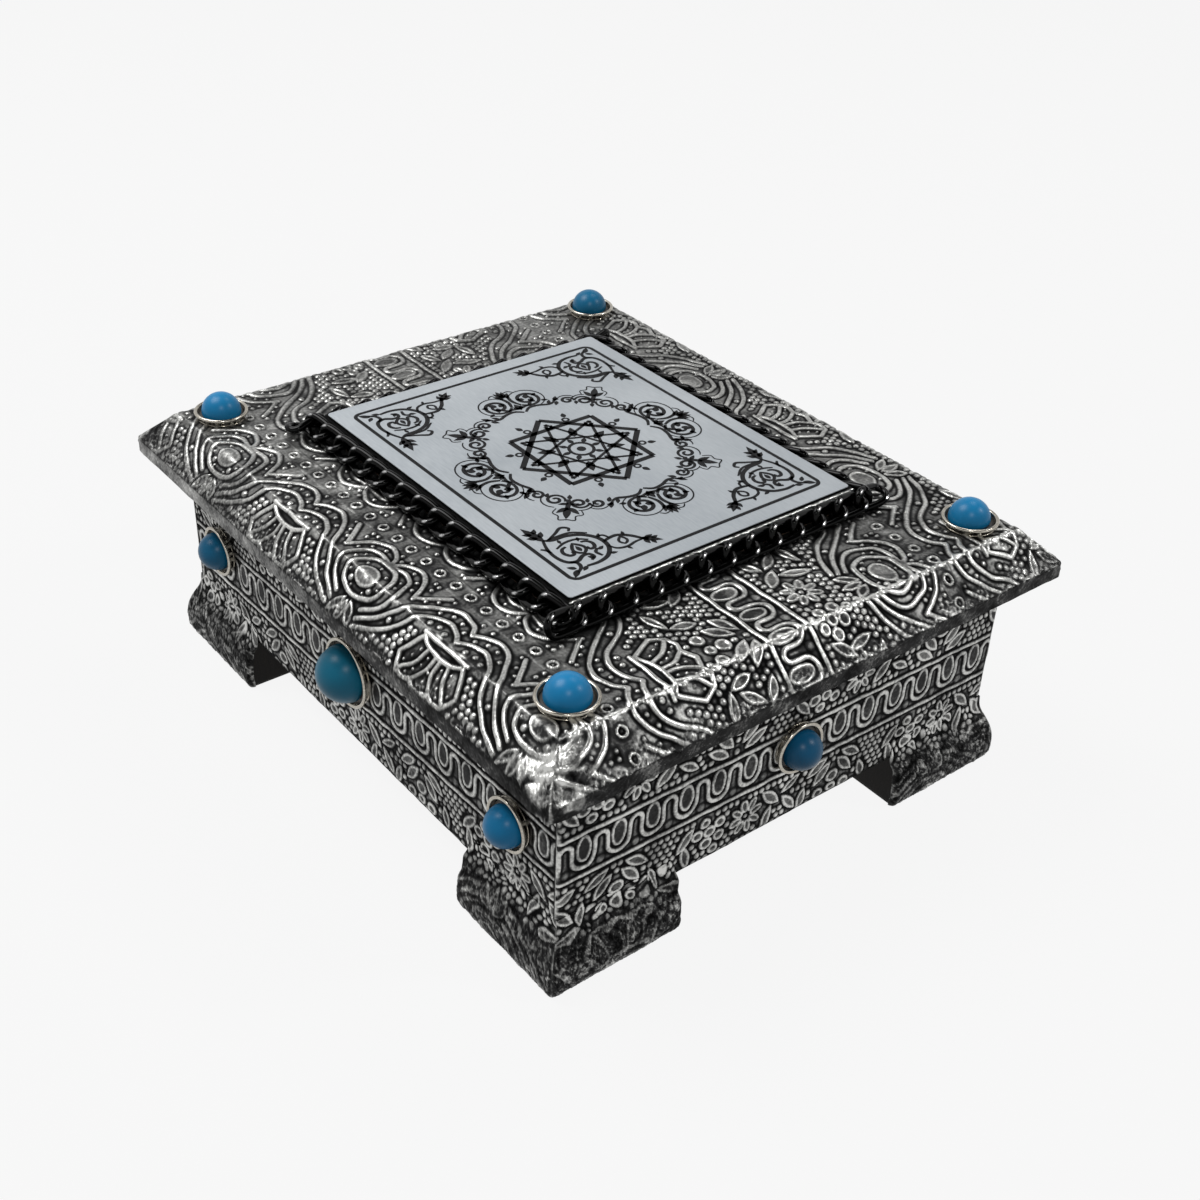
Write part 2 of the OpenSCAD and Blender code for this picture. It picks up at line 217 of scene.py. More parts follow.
def soft_box(name, place, size, watts):
    """A square lamp at a place in metres, turned towards the middle of the box."""
    lamp = bpy.data.lights.new(name, "AREA")
    lamp.size = size
    lamp.energy = watts
    box = bpy.data.objects.new(name, lamp)
    box.location = place
    aim = AIM - Vector(place)
    box.rotation_euler = aim.to_track_quat("-Z", "Y").to_euler()
    bpy.context.scene.collection.objects.link(box)


soft_box("overhead", (-0.35, 0.5, 1.05), 0.6, 12)
soft_box("beside_camera", (-0.5, -0.8, 1.0), 0.08, 4)
soft_box("right", (0.75, -0.72, 0.95), 0.15, 5)
soft_box("behind", (0.5, 0.15, 0.95), 0.3, 1.8)

flag_cloth, tree = blank_material("black_flag_cloth")
cloth = add_node(tree, "ShaderNodeBsdfDiffuse", {"Color": colour("#303030")})
add_node(tree, "ShaderNodeOutputMaterial", {"Surface": cloth})
flag = stage_square("flag", FLAG_HALF, FLAG_BACK, FLAG_UP, flag_cloth)
flag.visible_camera = False
flag.visible_diffuse = False
flag.visible_shadow = False
print("studio ready")

# %% [markdown]
# The foil is thin aluminium sheet, embossed between rollers, painted black and wiped with a cloth. What
# the eye gets is bright metal on the high lines, black paint in the low ground and every grey between
# where the cloth passed lightly. Shader nodes could guess that from sharp edges, but not where a hand
# rubbed. So each foil mesh carries a number per point, called rub, that says how far the cloth got
# there. On the lid and on the ledge round the plate, rub also carries painted light: painted shade under
# the chain, painted highlights on the folds and a painted grey haze for the pale room that the far part
# reflects. Wiping by hand is uneven, so a slow noise moves rub a little up and down.

# %% Embossed aluminium foil with wiped black patina
PATCH = 14.0     # mm across the patches where a hand wiped more or less
GRAIN = 0.45     # mm across the tiny dents of handled foil
SPECK = 0.8      # mm across the specks of paint that the cloth missed
DENT = 0.12      # mm deep


def per_metre(size_mm):
    """Noise scale that gives features of about this size."""
    return 1 / (size_mm * MM)


def antiqued_foil():
    material, tree = blank_material("embossed_aluminium_foil_with_black_patina")
    spot = add_node(tree, "ShaderNodeTexCoord").outputs["Object"]
    # rub is the wiped patina; on the lid and the ledge round the plate it also holds painted shade and
    # painted highlights
    rub = add_node(tree, "ShaderNodeAttribute", attribute_name="rub").outputs["Fac"]
    hand = add_node(tree, "ShaderNodeTexNoise", {"Vector": spot, "Scale": per_metre(PATCH), "Detail": 3})
    patch = add_node(tree, "ShaderNodeMapRange", {"Value": hand, "To Min": -0.3, "To Max": 0.3})
    dirt = add_node(tree, "ShaderNodeTexNoise", {"Vector": spot, "Scale": per_metre(SPECK), "Detail": 3})
    speck = add_node(tree, "ShaderNodeMapRange", {"Value": dirt, "To Min": -0.55, "To Max": 0.55})
    uneven = add_node(tree, "ShaderNodeMath", {0: patch, 1: speck})
    wiped = add_node(tree, "ShaderNodeMath", {0: rub, 1: uneven, 2: rub}, operation="MULTIPLY_ADD")
    greys = [(0.0, "#040404"), (0.3, "#2e2e2e"), (0.62, "#7e7e7c"), (1.0, "#c8c8c5")]
    tint = add_node(tree, "ShaderNodeValToRGB", {"Fac": wiped}, greys)
    bare = add_node(tree, "ShaderNodeValToRGB", {"Fac": wiped}, [(0.05, "#000000"), (0.5, "#ffffff")])
    gloss = add_node(tree, "ShaderNodeMapRange", {"Value": wiped, "To Min": 0.55, "To Max": 0.3})
    dents = add_node(tree, "ShaderNodeTexNoise", {"Vector": spot, "Scale": per_metre(GRAIN), "Detail": 2})
    bump = add_node(tree, "ShaderNodeBump", {"Strength": 0.25, "Distance": DENT * MM, "Height": dents})
    shader = add_node(tree, "ShaderNodeBsdfPrincipled", {
        "Base Color": tint,
        "Metallic": bare,
        "Roughness": gloss,
        "Specular IOR Level": 0.02,
        "Normal": bump,
    })
    add_node(tree, "ShaderNodeOutputMaterial", {"Surface": shader})
    return material


foil = antiqued_foil()
print("finish:", foil.name)

# %% [markdown]
# The other metals are simpler. The cups are nickel silver, a warm grey that was spun on a lathe, so its
# fine lines run round. The hinges are rolled brass with fine scratches along the sheet. A stretched
# noise gives both, since such lines have no pattern that would need drawing.

# %% Nickel silver and brass
def polished_metal(name, dark, light, roughness, streak_mm, stretch):
    """A metal whose colour and gloss vary a little in streaks."""
    material, tree = blank_material(name)
    spot = add_node(tree, "ShaderNodeTexCoord").outputs["Object"]
    along = add_node(tree, "ShaderNodeMapping", {"Vector": spot, "Scale": stretch})
    scale = per_metre(streak_mm)
    streaks = add_node(tree, "ShaderNodeTexNoise", {"Vector": along, "Scale": scale, "Detail": 4})
    tint = add_node(tree, "ShaderNodeValToRGB", {"Fac": streaks}, [(0.3, dark), (0.7, light)])
    gloss = add_node(tree, "ShaderNodeMapRange", {
        "Value": streaks,
        "To Min": roughness * 0.75,
        "To Max": roughness * 1.3,
    })
    shader = add_node(tree, "ShaderNodeBsdfPrincipled", {
        "Base Color": tint,
        "Metallic": 1.0,
        "Roughness": gloss,
    })
    add_node(tree, "ShaderNodeOutputMaterial", {"Surface": shader})
    return material


nickel = polished_metal("spun_nickel_silver", "#98938a", "#bab5aa", 0.22, 1.5, (1, 1, 3))
brass = polished_metal("rolled_brass", "#9c7a35", "#c29a4c", 0.28, 1.2, (0.2, 1, 1))
print("finishes:", nickel.name, brass.name)

# %% [markdown]
# The plate is aluminium under a satin coat. The coat hides most of the metal's shine, so the finish is
# only partly metallic, with a faint grain from the rolling mill and slow clouds where the coat is thicker.

# %% Satin coated aluminium
MILL_GRAIN = 0.5     # mm across the grain, coarser than the real one so that it shows
CLOUD = 30.0         # mm across a cloud in the coat


def satin_plate():
    material, tree = blank_material("satin_coated_aluminium")
    spot = add_node(tree, "ShaderNodeTexCoord").outputs["Object"]
    rolled = add_node(tree, "ShaderNodeMapping", {"Vector": spot, "Scale": (1, 0.12, 1)})
    scale = per_metre(MILL_GRAIN)
    grain = add_node(tree, "ShaderNodeTexNoise", {"Vector": rolled, "Scale": scale, "Detail": 3})
    cloud = add_node(tree, "ShaderNodeTexNoise", {"Vector": spot, "Scale": per_metre(CLOUD), "Detail": 2})
    haze = add_node(tree, "ShaderNodeMapRange", {"Value": cloud, "To Min": 0.0, "To Max": 0.55})
    mixed = add_node(tree, "ShaderNodeMath", {0: grain, 1: 0.45, 2: haze}, operation="MULTIPLY_ADD")
    tint = add_node(tree, "ShaderNodeValToRGB", {"Fac": mixed}, [(0.35, "#949a9f"), (0.65, "#a7acb0")])
    gloss = add_node(tree, "ShaderNodeMapRange", {"Value": grain, "To Min": 0.42, "To Max": 0.55})
    bump = add_node(tree, "ShaderNodeBump", {"Strength": 0.12, "Distance": 0.05 * MM, "Height": grain})
    shader = add_node(tree, "ShaderNodeBsdfPrincipled", {
        "Base Color": tint,
        "Metallic": 0.25,
        "Roughness": gloss,
        "Normal": bump,
    })
    add_node(tree, "ShaderNodeOutputMaterial", {"Surface": shader})
    return material


satin = satin_plate()
print("finish:", satin.name)

# %% [markdown]
# The stones are cast resin dyed to look like turquoise and tumbled to a satin gloss, and the dye differs
# a little from lot to lot. Print, tape, glue, paint, fibreboard and velvet are all dull: what tells them
# apart is the grain. Paint has brush marks, board has short fibres, and velvet has a pile that catches
# light at its edges, which Blender calls sheen. So one function makes them all from a mottled colour and
# a bump of the same pattern.

# %% Resin, ink, tape, glue, paint, board and velvet
SWIRL = 45.0     # mm across the slow change of dye, wider than a stone


def dull(name, dark, light, size_mm, roughness, bump_mm, sockets=(), stretch=(1, 1, 1)):
    """A non-metal with a mottled colour and a bump of the same pattern; sockets sets further sockets."""
    material, tree = blank_material(name)
    spot = add_node(tree, "ShaderNodeTexCoord").outputs["Object"]
    along = add_node(tree, "ShaderNodeMapping", {"Vector": spot, "Scale": stretch})
    scale = per_metre(size_mm)
    mottle = add_node(tree, "ShaderNodeTexNoise", {"Vector": along, "Scale": scale, "Detail": 5})
    tint = add_node(tree, "ShaderNodeValToRGB", {"Fac": mottle}, [(0.3, dark), (0.7, light)])
    depth = bump_mm * MM
    bump = add_node(tree, "ShaderNodeBump", {"Strength": 0.5, "Distance": depth, "Height": mottle})
    shader = add_node(tree, "ShaderNodeBsdfPrincipled", {
        "Base Color": tint,
        "Roughness": roughness,
        "Normal": bump,
        **dict(sockets),
    })
    add_node(tree, "ShaderNodeOutputMaterial", {"Surface": shader})
    return material


def cast_resin(name, dark, light):
    return dull(name, dark, light, SWIRL, 0.35, 0.0, {"Specular IOR Level": 0.2})


teal_resin = cast_resin("polished_teal_resin", "#0a4c60", "#137190")
# a darker copy of the blue resin, painted shade for the front stone
resin_painted_darker = cast_resin("polished_turquoise_resin_painted_shade", "#083f58", "#115f8a")
resin = cast_resin("polished_turquoise_resin", "#0b5474", "#187aae")
ink = dull("black_screen_print_ink", "#08080a", "#111113", 0.6, 0.5, 0.01, {"Specular IOR Level": 0.12})
# near-black tape: real tape, and its black also paints the shade under the plate's edge
black_tape_and_painted_shade = dull("black_tape_with_painted_shade", "#040404", "#0a0a0a", 0.4, 0.8, 0.05, {"Specular IOR Level": 0.1})
# near-black glue in the cups: real glue, and its dark colour also paints the shade round the stone inside
# the cup
glue_and_painted_shade = dull("dark_glue_with_painted_shade", "#0b0907", "#1c1712", 1.2, 0.5, 0.1)
black_paint = dull("black_paint_on_wood", "#060504", "#15120f", 1.5, 0.55, 0.2,
                   {"Specular IOR Level": 0.12}, (1, 1, 0.3))
fibreboard = dull("stained_fibreboard", "#2a1f17", "#4a3829", 0.9, 0.8, 0.1)
velvet = dull("short_pile_velvet", "#3c0610", "#6a1222", 0.7, 0.95, 0.25, {
    "Sheen Weight": 0.6,
    "Sheen Roughness": 0.45,
    "Sheen Tint": colour("#c8606e"),
    "Specular IOR Level": 0.05,
})
print("finishes:", resin.name, ink.name, black_paint.name, fibreboard.name, velvet.name)

# %% [markdown]
# The chain's steel wire was blackened and lacquered, so it is dark with sharp highlights. On the crests of
# the links the lacquer is rubbed through. As on the foil, a number per point says where.

# %% Worn black lacquer
def worn_lacquer():
    """Black lacquer that is rubbed off to bright steel where rub says so."""
    material, tree = blank_material("black_lacquered_steel_wire")
    rub = add_node(tree, "ShaderNodeAttribute", attribute_name="rub").outputs["Fac"]
    tint = add_node(tree, "ShaderNodeValToRGB", {"Fac": rub}, [(0.1, "#020202"), (0.9, "#d6d6d6")])
    bare = add_node(tree, "ShaderNodeValToRGB", {"Fac": rub}, [(0.1, "#000000"), (0.5, "#ffffff")])
    gloss = add_node(tree, "ShaderNodeMapRange", {"Value": rub, "To Min": 0.1, "To Max": 0.3})
    shader = add_node(tree, "ShaderNodeBsdfPrincipled", {
        "Base Color": tint,
        "Metallic": bare,
        "Roughness": gloss,
        "Specular IOR Level": 0.12,
    })
    add_node(tree, "ShaderNodeOutputMaterial", {"Surface": shader})
    return material


gunmetal = worn_lacquer()
print("finish:", gunmetal.name)

# %% [markdown]
# The ornament comes from one pair of rollers, so it is made once, as a die: a grid of heights that
# repeats along and across. Bump in the material would be quicker, but relief in the mesh holds its shape
# at the folds. It is a traditional frieze of ovals in a wave line, and on both sides of the frieze columns
# of bosses under arches with fans between them, flowers, berries, leaves and a ground of dots. Lines,
# ovals, leaves and dots are pressed into the grid one at a time, the way an engraver punches a roller, and
# the grid wraps round at its edges as a roller does.

# %% The die and its punches
CELL = 0.1         # mm per cell of the die
REPEAT = 72.0      # mm along a frieze until the ornament comes round again
SPACING = 105.0    # mm from one frieze to the next
COLUMN = 37.5      # mm from a frieze to the bosses on either side of it
LINE = 0.5         # mm that a full line stands up
die = np.zeros((round(SPACING / CELL), round(REPEAT / CELL)))
die_across = (np.arange(die.shape[0]) - die.shape[0] // 2) * CELL


def press(middle, reach, height_at, blend=np.maximum):
    """Work height_at(ds, dt) into the die around a middle point, wrapping round at its edges."""
    cells = [np.arange(round((m - r) / CELL), round((m + r) / CELL) + 1) for m, r in zip(middle, reach)]
    ds = cells[0][None, :] * CELL - middle[0]
    dt = cells[1][:, None] * CELL - middle[1]
    spot = np.ix_((cells[1] + die.shape[0] // 2) % die.shape[0], cells[0] % die.shape[1])
    die[spot] = blend(die[spot], height_at(ds, dt))


def ridge(distance, width, height):
    """A pressed line: round shoulders and a narrow flat top."""
    return height * np.clip(1.5 * (1 - (2 * distance / width) ** 2), 0, 1)


def curve(points, steps=6):
    """A smooth path through a few points."""
    p = np.array(points, float)
    p = np.vstack([2 * p[0] - p[1], p, 2 * p[-1] - p[-2]])
    u = np.linspace(0, 1, steps, endpoint=False)[:, None]
    spans = []
    for a, b, c, d in zip(p, p[1:], p[2:], p[3:]):
        bend = 2 * a - 5 * b + 4 * c - d + u * (3 * b - a - 3 * c + d)
        spans.append(b + 0.5 * u * (c - a + u * bend))
    return np.vstack(spans + [p[-2:-1]])


def press_line(path, width=1.5, height=LINE):
    path = np.array(path, float)
    middle = (path.min(0) + path.max(0)) / 2
    reach = (path.max(0) - path.min(0)) / 2 + width

    def height_at(ds, dt):
        nearest = np.full(np.broadcast(ds, dt).shape, np.inf)
        for a, b in zip(path - middle, path[1:] - middle):
            run = b - a
            along = np.clip(((ds - a[0]) * run[0] + (dt - a[1]) * run[1]) / max(run @ run, 1e-9), 0, 1)
            off = np.hypot(ds - a[0] - along * run[0], dt - a[1] - along * run[1])
            nearest = np.minimum(nearest, off)
        return ridge(nearest, width, height)

    press(middle, reach, height_at)


def press_shape(middle, half, turn, rim, fill, pointed=False, crown=0.0):
    """An oval, or a pointed leaf, with a rim line, a lower filling and perhaps a crown."""
    c, s = math.cos(turn), math.sin(turn)

    def height_at(ds, dt):
        x, y = ds * c + dt * s, dt * c - ds * s
        if pointed:
            bow = half[1] * (1 - (x / half[0]) ** 2)
            off = (np.abs(y) - bow) / np.hypot(1, 2 * half[1] * x / half[0] ** 2)
        else:
            e = np.hypot(x / half[0], y / half[1]) + 1e-6
            off = (e - 1) * e / (np.hypot(x / half[0] ** 2, y / half[1] ** 2) + 1e-9)
        inside = np.clip(-off / min(half), 0, 1)
        body = np.where(off < 0, fill + crown * np.sqrt(1 - (1 - inside) ** 2), 0)
        return np.maximum(body, ridge(off, rim, LINE))

    press(middle, [max(half) + rim] * 2, height_at)


def press_dot(middle, radius, height=LINE):
    def height_at(ds, dt):
        return height * np.sqrt(np.clip(1 - (ds**2 + dt**2) / radius**2, 0, 1))

    press(middle, [radius] * 2, height_at)


print("die of", die.shape[1], "by", die.shape[0], "cells")

# %% [markdown]
# The frieze: seven upright ovals, each in the bowl of a wave line that runs over the next arch, between
# two plain rails. Halfway between two friezes runs a narrow band of eyelets, little rings with a
# punched middle. One formula could draw the whole strip, but pressing figure by figure in a loop keeps
# each of them easy to change.

# %% Frieze and eyelet band
OVALS = 7
RAIL = 6.35        # mm from the middle of the frieze to a rail
BOWL = 3.35        # mm, radius of the wave under an oval
EYELETS = 11
BAND = SPACING / 2
PUNCHED = 0.42     # mm that the eyelet's middle is driven back

pitch = REPEAT / OVALS
arch_radius = pitch / 2 - BOWL
die[:] = np.maximum(die, ridge(np.abs(die_across) - RAIL, 1.3, LINE)[:, None])
arch = [(-pitch / 2 + arch_radius * math.cos(a), -2.6 - arch_radius * math.sin(a))
        for a in np.linspace(math.pi / 2, 0, 6)]
bowl = [(BOWL * math.cos(a), 0.6 + BOWL * math.sin(a)) for a in np.linspace(math.pi, 0, 16)]
wave = np.array(arch + bowl + [(-s, t) for s, t in reversed(arch)])
for k in range(OVALS):
    middle = (k + 0.5) * pitch
    press_line(wave + (middle, 0), 1.5)
    press_shape((middle, -1.7), (1.9, 3.6), 0, 0.95, 0.21, crown=0.07)
    press_dot((middle + pitch / 2, 4.0), 1.3, 0.3)

band = np.abs(np.abs(die_across) - BAND)
die[:] = np.maximum(die, np.where(band < 2.2, 0.12, 0)[:, None])
die[:] = np.maximum(die, ridge(band - 2.2, 0.7, 0.18)[:, None])
for k in range(EYELETS):
    eye = ((k + 0.5) * REPEAT / EYELETS, BAND)
    press_shape(eye, (1.3, 1.2), 0, 0.85, 0.2)
    press(eye, [1.2] * 2, lambda ds, dt: -PUNCHED * np.clip(1.6 - 1.3 * (ds**2 + dt**2), 0, 1), np.add)
    press_dot(eye, 0.4, 0.2)
print("frieze of", OVALS, "ovals and", EYELETS, "eyelets")

# %% [markdown]
# The columns stand on both sides of a frieze, the second one upside down and half a repeat along. Each
# is mirror-symmetric, so its lines are given for one half only, as points along and across from the
# boss: rings and shoulders round the boss, a double arch that swings down to the fan, the palmette
# under the boss, and the fan's rays. Mirroring a half is shorter than drawing the whole, and the two
# halves can't drift apart.

# %% Bosses, arches, palmettes and fans
COLUMNS = ((1, 0.0), (-1, REPEAT / 2))
FAN = REPEAT / 2


def on_columns(points):
    """The same points, from (along, across) a column's boss, on both columns of the die."""
    for side, boss in COLUMNS:
        yield [(boss + a, side * (COLUMN + v)) for a, v in points]


def mirrored(points):
    return [points, [(-a, v) for a, v in points]]


def column_lines(points, width=1.5, bend=True):
    for half in mirrored(points):
        for path in on_columns(half):
            press_line(curve(path) if bend else path, width)


def column_dots(places, radius):
    for half in mirrored(places):
        for path in on_columns(half):
            for spot in path:
                press_dot(spot, radius)


for (boss,) in on_columns([(0, 0)]):
    press_shape(boss, (3.9, 2.8), 0, 0.9, 0.24, crown=0.3)
column_lines([(0, 6.3), (3.7, 5.9), (6.3, 3.6), (7.9, 0), (6.4, -3.8), (3.4, -5.4), (0, -5.9)])
column_lines([(0.6, 6.9), (3, 7.4), (6, 7.8), (9.1, 6.7), (10.7, 3.8), (12.0, 0.6), (11.4, -2.4),
              (9.3, -4.9), (5.5, -7.4)])
column_lines([(0.2, 7.2), (2.2, 10.0), (6.5, 11.7), (10.4, 10.2), (12.8, 7.6), (15.4, 3.4)])
column_lines([(15.2, 3.9), (21.1, 11.0)], bend=False)
column_lines([(36, 6.6), (33.3, 8.8), (29.1, 10.0), (25.5, 9.1), (23.0, 7.2), (19, 2.9), (14.7, -2.8),
              (11.3, -6.4), (5.8, -9.8)])
column_lines([(36, 2.1), (33.3, 4.0), (28.9, 5.1), (25.2, 3.8), (22.1, 1.2), (19.1, -4.1), (15.2, -7.6),
              (10.6, -10.1), (6.3, -11.7)])
for turn in (-0.55, 0, 0.55):
    spots = on_columns([(5.6 * math.sin(turn), -5.4 - 5.4 * math.cos(turn))])
    for (spot,), (side, _) in zip(spots, COLUMNS):
        press_shape(spot, (2.9, 1.1), side * (math.pi / 2 + turn), 0.9, 0.15, pointed=True)
column_lines([(FAN, -0.9), (FAN - 8.7, -0.9)], 1.35, bend=False)
column_lines([(FAN, -3.9), (FAN - 4.4, -3.3), (FAN - 7.9, -1.7)], 1.35)
column_lines([(FAN - 8.2, -2.4), (FAN - 11.6, -8.3), (FAN - 9.3, -12.2)], 1.5, bend=False)
column_lines([(FAN - 4.1, -3.7), (FAN - 5.6, -7.9), (FAN - 8.9, -11.4)], 1.35)
column_lines([(FAN - 0.8, -4.0), (FAN - 1.2, -7.9), (FAN - 3.9, -11.9)], 1.35)
column_lines([(FAN - 9.3, -12.2), (FAN - 6.4, -12.9), (FAN - 3.9, -11.9), (FAN, -13.6)], 1.5, bend=False)
column_dots([(6.5, 9.7), (10.2, 8.0), (12.2, 5.2), (20.2, 7.6), (18.0, 5.4), (22.6, 10.8)], 0.6)
column_dots([(8.0, 4.6), (9.0, 2.5), (0, 4.3), (4.2, 3.2), (6.2, -1.4), (2.6, -4.3)], 0.48)
column_dots([(2.0, 11.8), (0, 10.2), (15.0, 11.4), (13.1, 11.6), (14.9, 9.2), (FAN - 2.0, 10.9)], 0.68)
column_dots([(FAN - 8.8, 7.4), (FAN - 5.2, 7.3), (FAN - 2.2, 5.7), (FAN - 12.0, 5.7)], 0.7)
column_dots([(FAN - 10.2, 1.6), (FAN - 7.3, 2.3), (FAN - 4.3, 1.6)], 0.85)
column_dots([(FAN - 6.3, -5.0), (FAN - 7.6, -7.2), (FAN - 9.0, -9.2)], 0.42)
column_dots([(FAN - 2.8, -5.6), (FAN - 3.4, -7.6), (FAN - 4.9, -9.4), (FAN - 6.3, -11.2)], 0.42)
column_dots([(FAN, -8.0), (FAN, -10.4)], 0.5)
print("columns pressed, highest point", round(die.max(), 2), "mm")

# %% [markdown]
# Between frieze and columns the field is strewn with a flower of eight petals, round berries and pointed
# leaves. What is left of the ground gets rows of small dots, which keep the soft foil from bagging. To
# place them by hand would be long work, so a loop tries every spot of a staggered grid and presses a dot
# wherever the ground is still free.

# %% Flowers, berries, leaves and ground dots
FLOWER = (5.4, 14.5)
BERRIES = [(-3.5, 11.7, 1.4), (-3.5, 16.1, 1.5), (-8.4, 10.1, 1.3), (-6.7, 13.4, 1.5), (-7.8, 16.8, 1.6),
           (-10.7, 13.1, 1.5), (-5.2, 19.6, 1.2), (36, 19.6, 1.3), (36, 15.8, 1.8), (40.6, 19.9, 1.5),
           (31.4, 19.9, 1.5)]
LEAVES = [(-14.6, 12.6, 3.6, 1.2, 2.3), (-14.4, 18.2, 3.6, 1.1, 1.35), (13.6, 12.4, 3.7, 1.3, 0.75),
          (12.6, 19.4, 4.0, 1.1, 1.9), (20.4, 17.2, 3.4, 1.1, 0.9), (20.6, 11.2, 3.0, 1.0, -0.5),
          (42.1, 10.5, 3.6, 1.25, 0.52), (29.9, 10.5, 3.6, 1.25, -0.52), (40.2, 13.6, 3.6, 1.25, 0.82),
          (31.8, 13.6, 3.6, 1.25, -0.82), (52.0, 23.4, 3.6, 0.95, 0.25), (47.0, 18.6, 3.0, 1.15, 1.3),
          (20.0, 23.4, 3.6, 0.95, -0.25), (25.0, 18.6, 3.0, 1.15, -1.3)]
DOT = 0.95         # mm, radius of a ground dot
ROOM = 0.72        # mm that a dot keeps clear round its middle
DOT_PITCH = 2.06
ROW_PITCH = 1.85


def field(marks):
    """Marks placed from a boss along and from the frieze across, on both sides of the frieze."""
    for side, boss in COLUMNS:
        for along, across, *rest in marks:
            yield side, (boss + along, side * across), rest


for k in range(8):
    turn = k * math.pi / 4 + 0.2
    petal = (FLOWER[0] + 3.5 * math.sin(turn), FLOWER[1] + 3.5 * math.cos(turn))
    for side, spot, _ in field([petal]):
        press_shape(spot, (1.75, 0.85), side * (math.pi / 2 - turn), 0.85, 0.2)
for side, spot, _ in field([FLOWER]):
    press_dot(spot, 0.75)
for side, spot, (radius,) in field(BERRIES):
    press_shape(spot, (radius, radius * 0.86), 0, 1.05, 0.18)
for side, spot, (length, width, turn) in field(LEAVES):
    press_shape(spot, (length, width), side * turn, 0.95, 0.2, pointed=True)

taken = die > 0.03
near = np.arange(-int(ROOM / CELL), int(ROOM / CELL) + 1)
dots_per_row = round(REPEAT / DOT_PITCH)
dots = 0
for row, across in enumerate(np.arange(8.6, 36, ROW_PITCH)):
    for k in range(dots_per_row):
        along = (k + 0.5 * (row % 2)) * REPEAT / dots_per_row
        for side in (1, -1):
            i = round(along / CELL) + near
            j = round(side * across / CELL) + near + die.shape[0] // 2
            if not taken[np.ix_(j % die.shape[0], i % die.shape[1])].any():
                press_dot((along, side * across), DOT)
                dots += 1
print(dots, "ground dots")

# %% [markdown]
# The cloth that wiped the paint reached the tops of the lines. In the open ground it took a part of the
# paint, and beside the lines, in the narrow gaps, it left it all. A mask could be painted for that, and
# painted again after each change of the die. So how far a spot is rubbed follows from the die itself:
# from its height, and in the ground from how crowded it is.

# %% What the cloth rubbed off
OPEN_GROUND = 0.5      # how far open ground is rubbed
BROAD = 0.45           # how much less broad bosses shine than lines


def smooth(value, low, high):
    """0 below low, 1 above high, and an even slope between."""
    x = np.clip((value - low) / (high - low), 0, 1)
    return x * x * (3 - 2 * x)


def crowded(mask, reach):
    """Share of marked cells round each cell of the die, within about a reach in mm."""
    n = int(reach / CELL)
    total = mask.astype(float)
    for axis in (0, 1):
        total = sum(np.roll(total, k, axis) for k in range(-n, n + 1)) / (2 * n + 1)
    return total


crowd = crowded(die > 0.2, 1.0)
high_ground = np.clip(die / LINE, 0, 1) ** 0.9 * (1 - BROAD * smooth(crowd, 0.8, 1.0))
rubbed = np.maximum(high_ground, OPEN_GROUND * (1 - smooth(crowd, 0.0, 0.32)))
print("rubbed on average", round(float(rubbed.mean()), 2))

# %% [markdown]
# Laying the sheet: for each point on a clad face we need the height of the ornament there and how far it
# is rubbed, read from the die between its cells. Foil is never quite flat and never quite straight. Noise
# in a material can't move points, so ripples of a few long waves, always the same ones, are added to
# both, and crumpled foil is a net of flat triangles.

# %% Reading the die, and ripples
SUNK = 0.28        # mm from the CAD face down to the ground of the ornament
STRAY = 0.12       # mm that lines wander from their drawn course
KNOTS = 64         # knots each way in the net of a crumpled sheet


def read_die(grid, s, t):
    """Values of a die's grid at points of the flat sheet; the ornament repeats both ways."""
    x = np.asarray(s) / CELL
    y = np.asarray(t) / CELL + grid.shape[0] // 2
    i = np.floor(x).astype(int)
    j = np.floor(y).astype(int)
    fx = x - i
    fy = y - j
    rows, columns = grid.shape
    low = grid[j % rows, i % columns] * (1 - fx) + grid[j % rows, (i + 1) % columns] * fx
    high = grid[(j + 1) % rows, i % columns] * (1 - fx) + grid[(j + 1) % rows, (i + 1) % columns] * fx
    return low * (1 - fy) + high * fy


def pressed(s, t, stray=STRAY):
    """Height of the sheet in mm, and how far it is rubbed, at points of its flat layout."""
    s, t = s + stray * ripple(s, t, 7.0, 1), t + stray * ripple(s, t, 7.0, 2)
    even = 0.9 + 0.16 * ripple(s, t, 9.0, 7)
    return read_die(die, s, t) * even, read_die(rubbed, s, t) * (0.4 + 0.6 * even)


def ripple(x, y, size, seed):
    """A smooth unevenness between about -1 and 1, in waves of about a size in mm, always the same."""
    rng = np.random.default_rng(seed)
    total = 0
    for _ in range(7):
        heading, phase = rng.uniform(0, 2 * math.pi, 2)
        wave = 2 * math.pi / (size * rng.uniform(0.6, 1.5))
        total = total + np.sin(wave * (x * math.cos(heading) + y * math.sin(heading)) + phase)
    return total / 3.2


def crinkle(x, y, size, seed):
    """A net of thin creases between 0 and 1: the lines where a ripple passes through zero."""
    return np.clip(1 - 3.2 * np.abs(ripple(x, y, size, seed)), 0, 1)


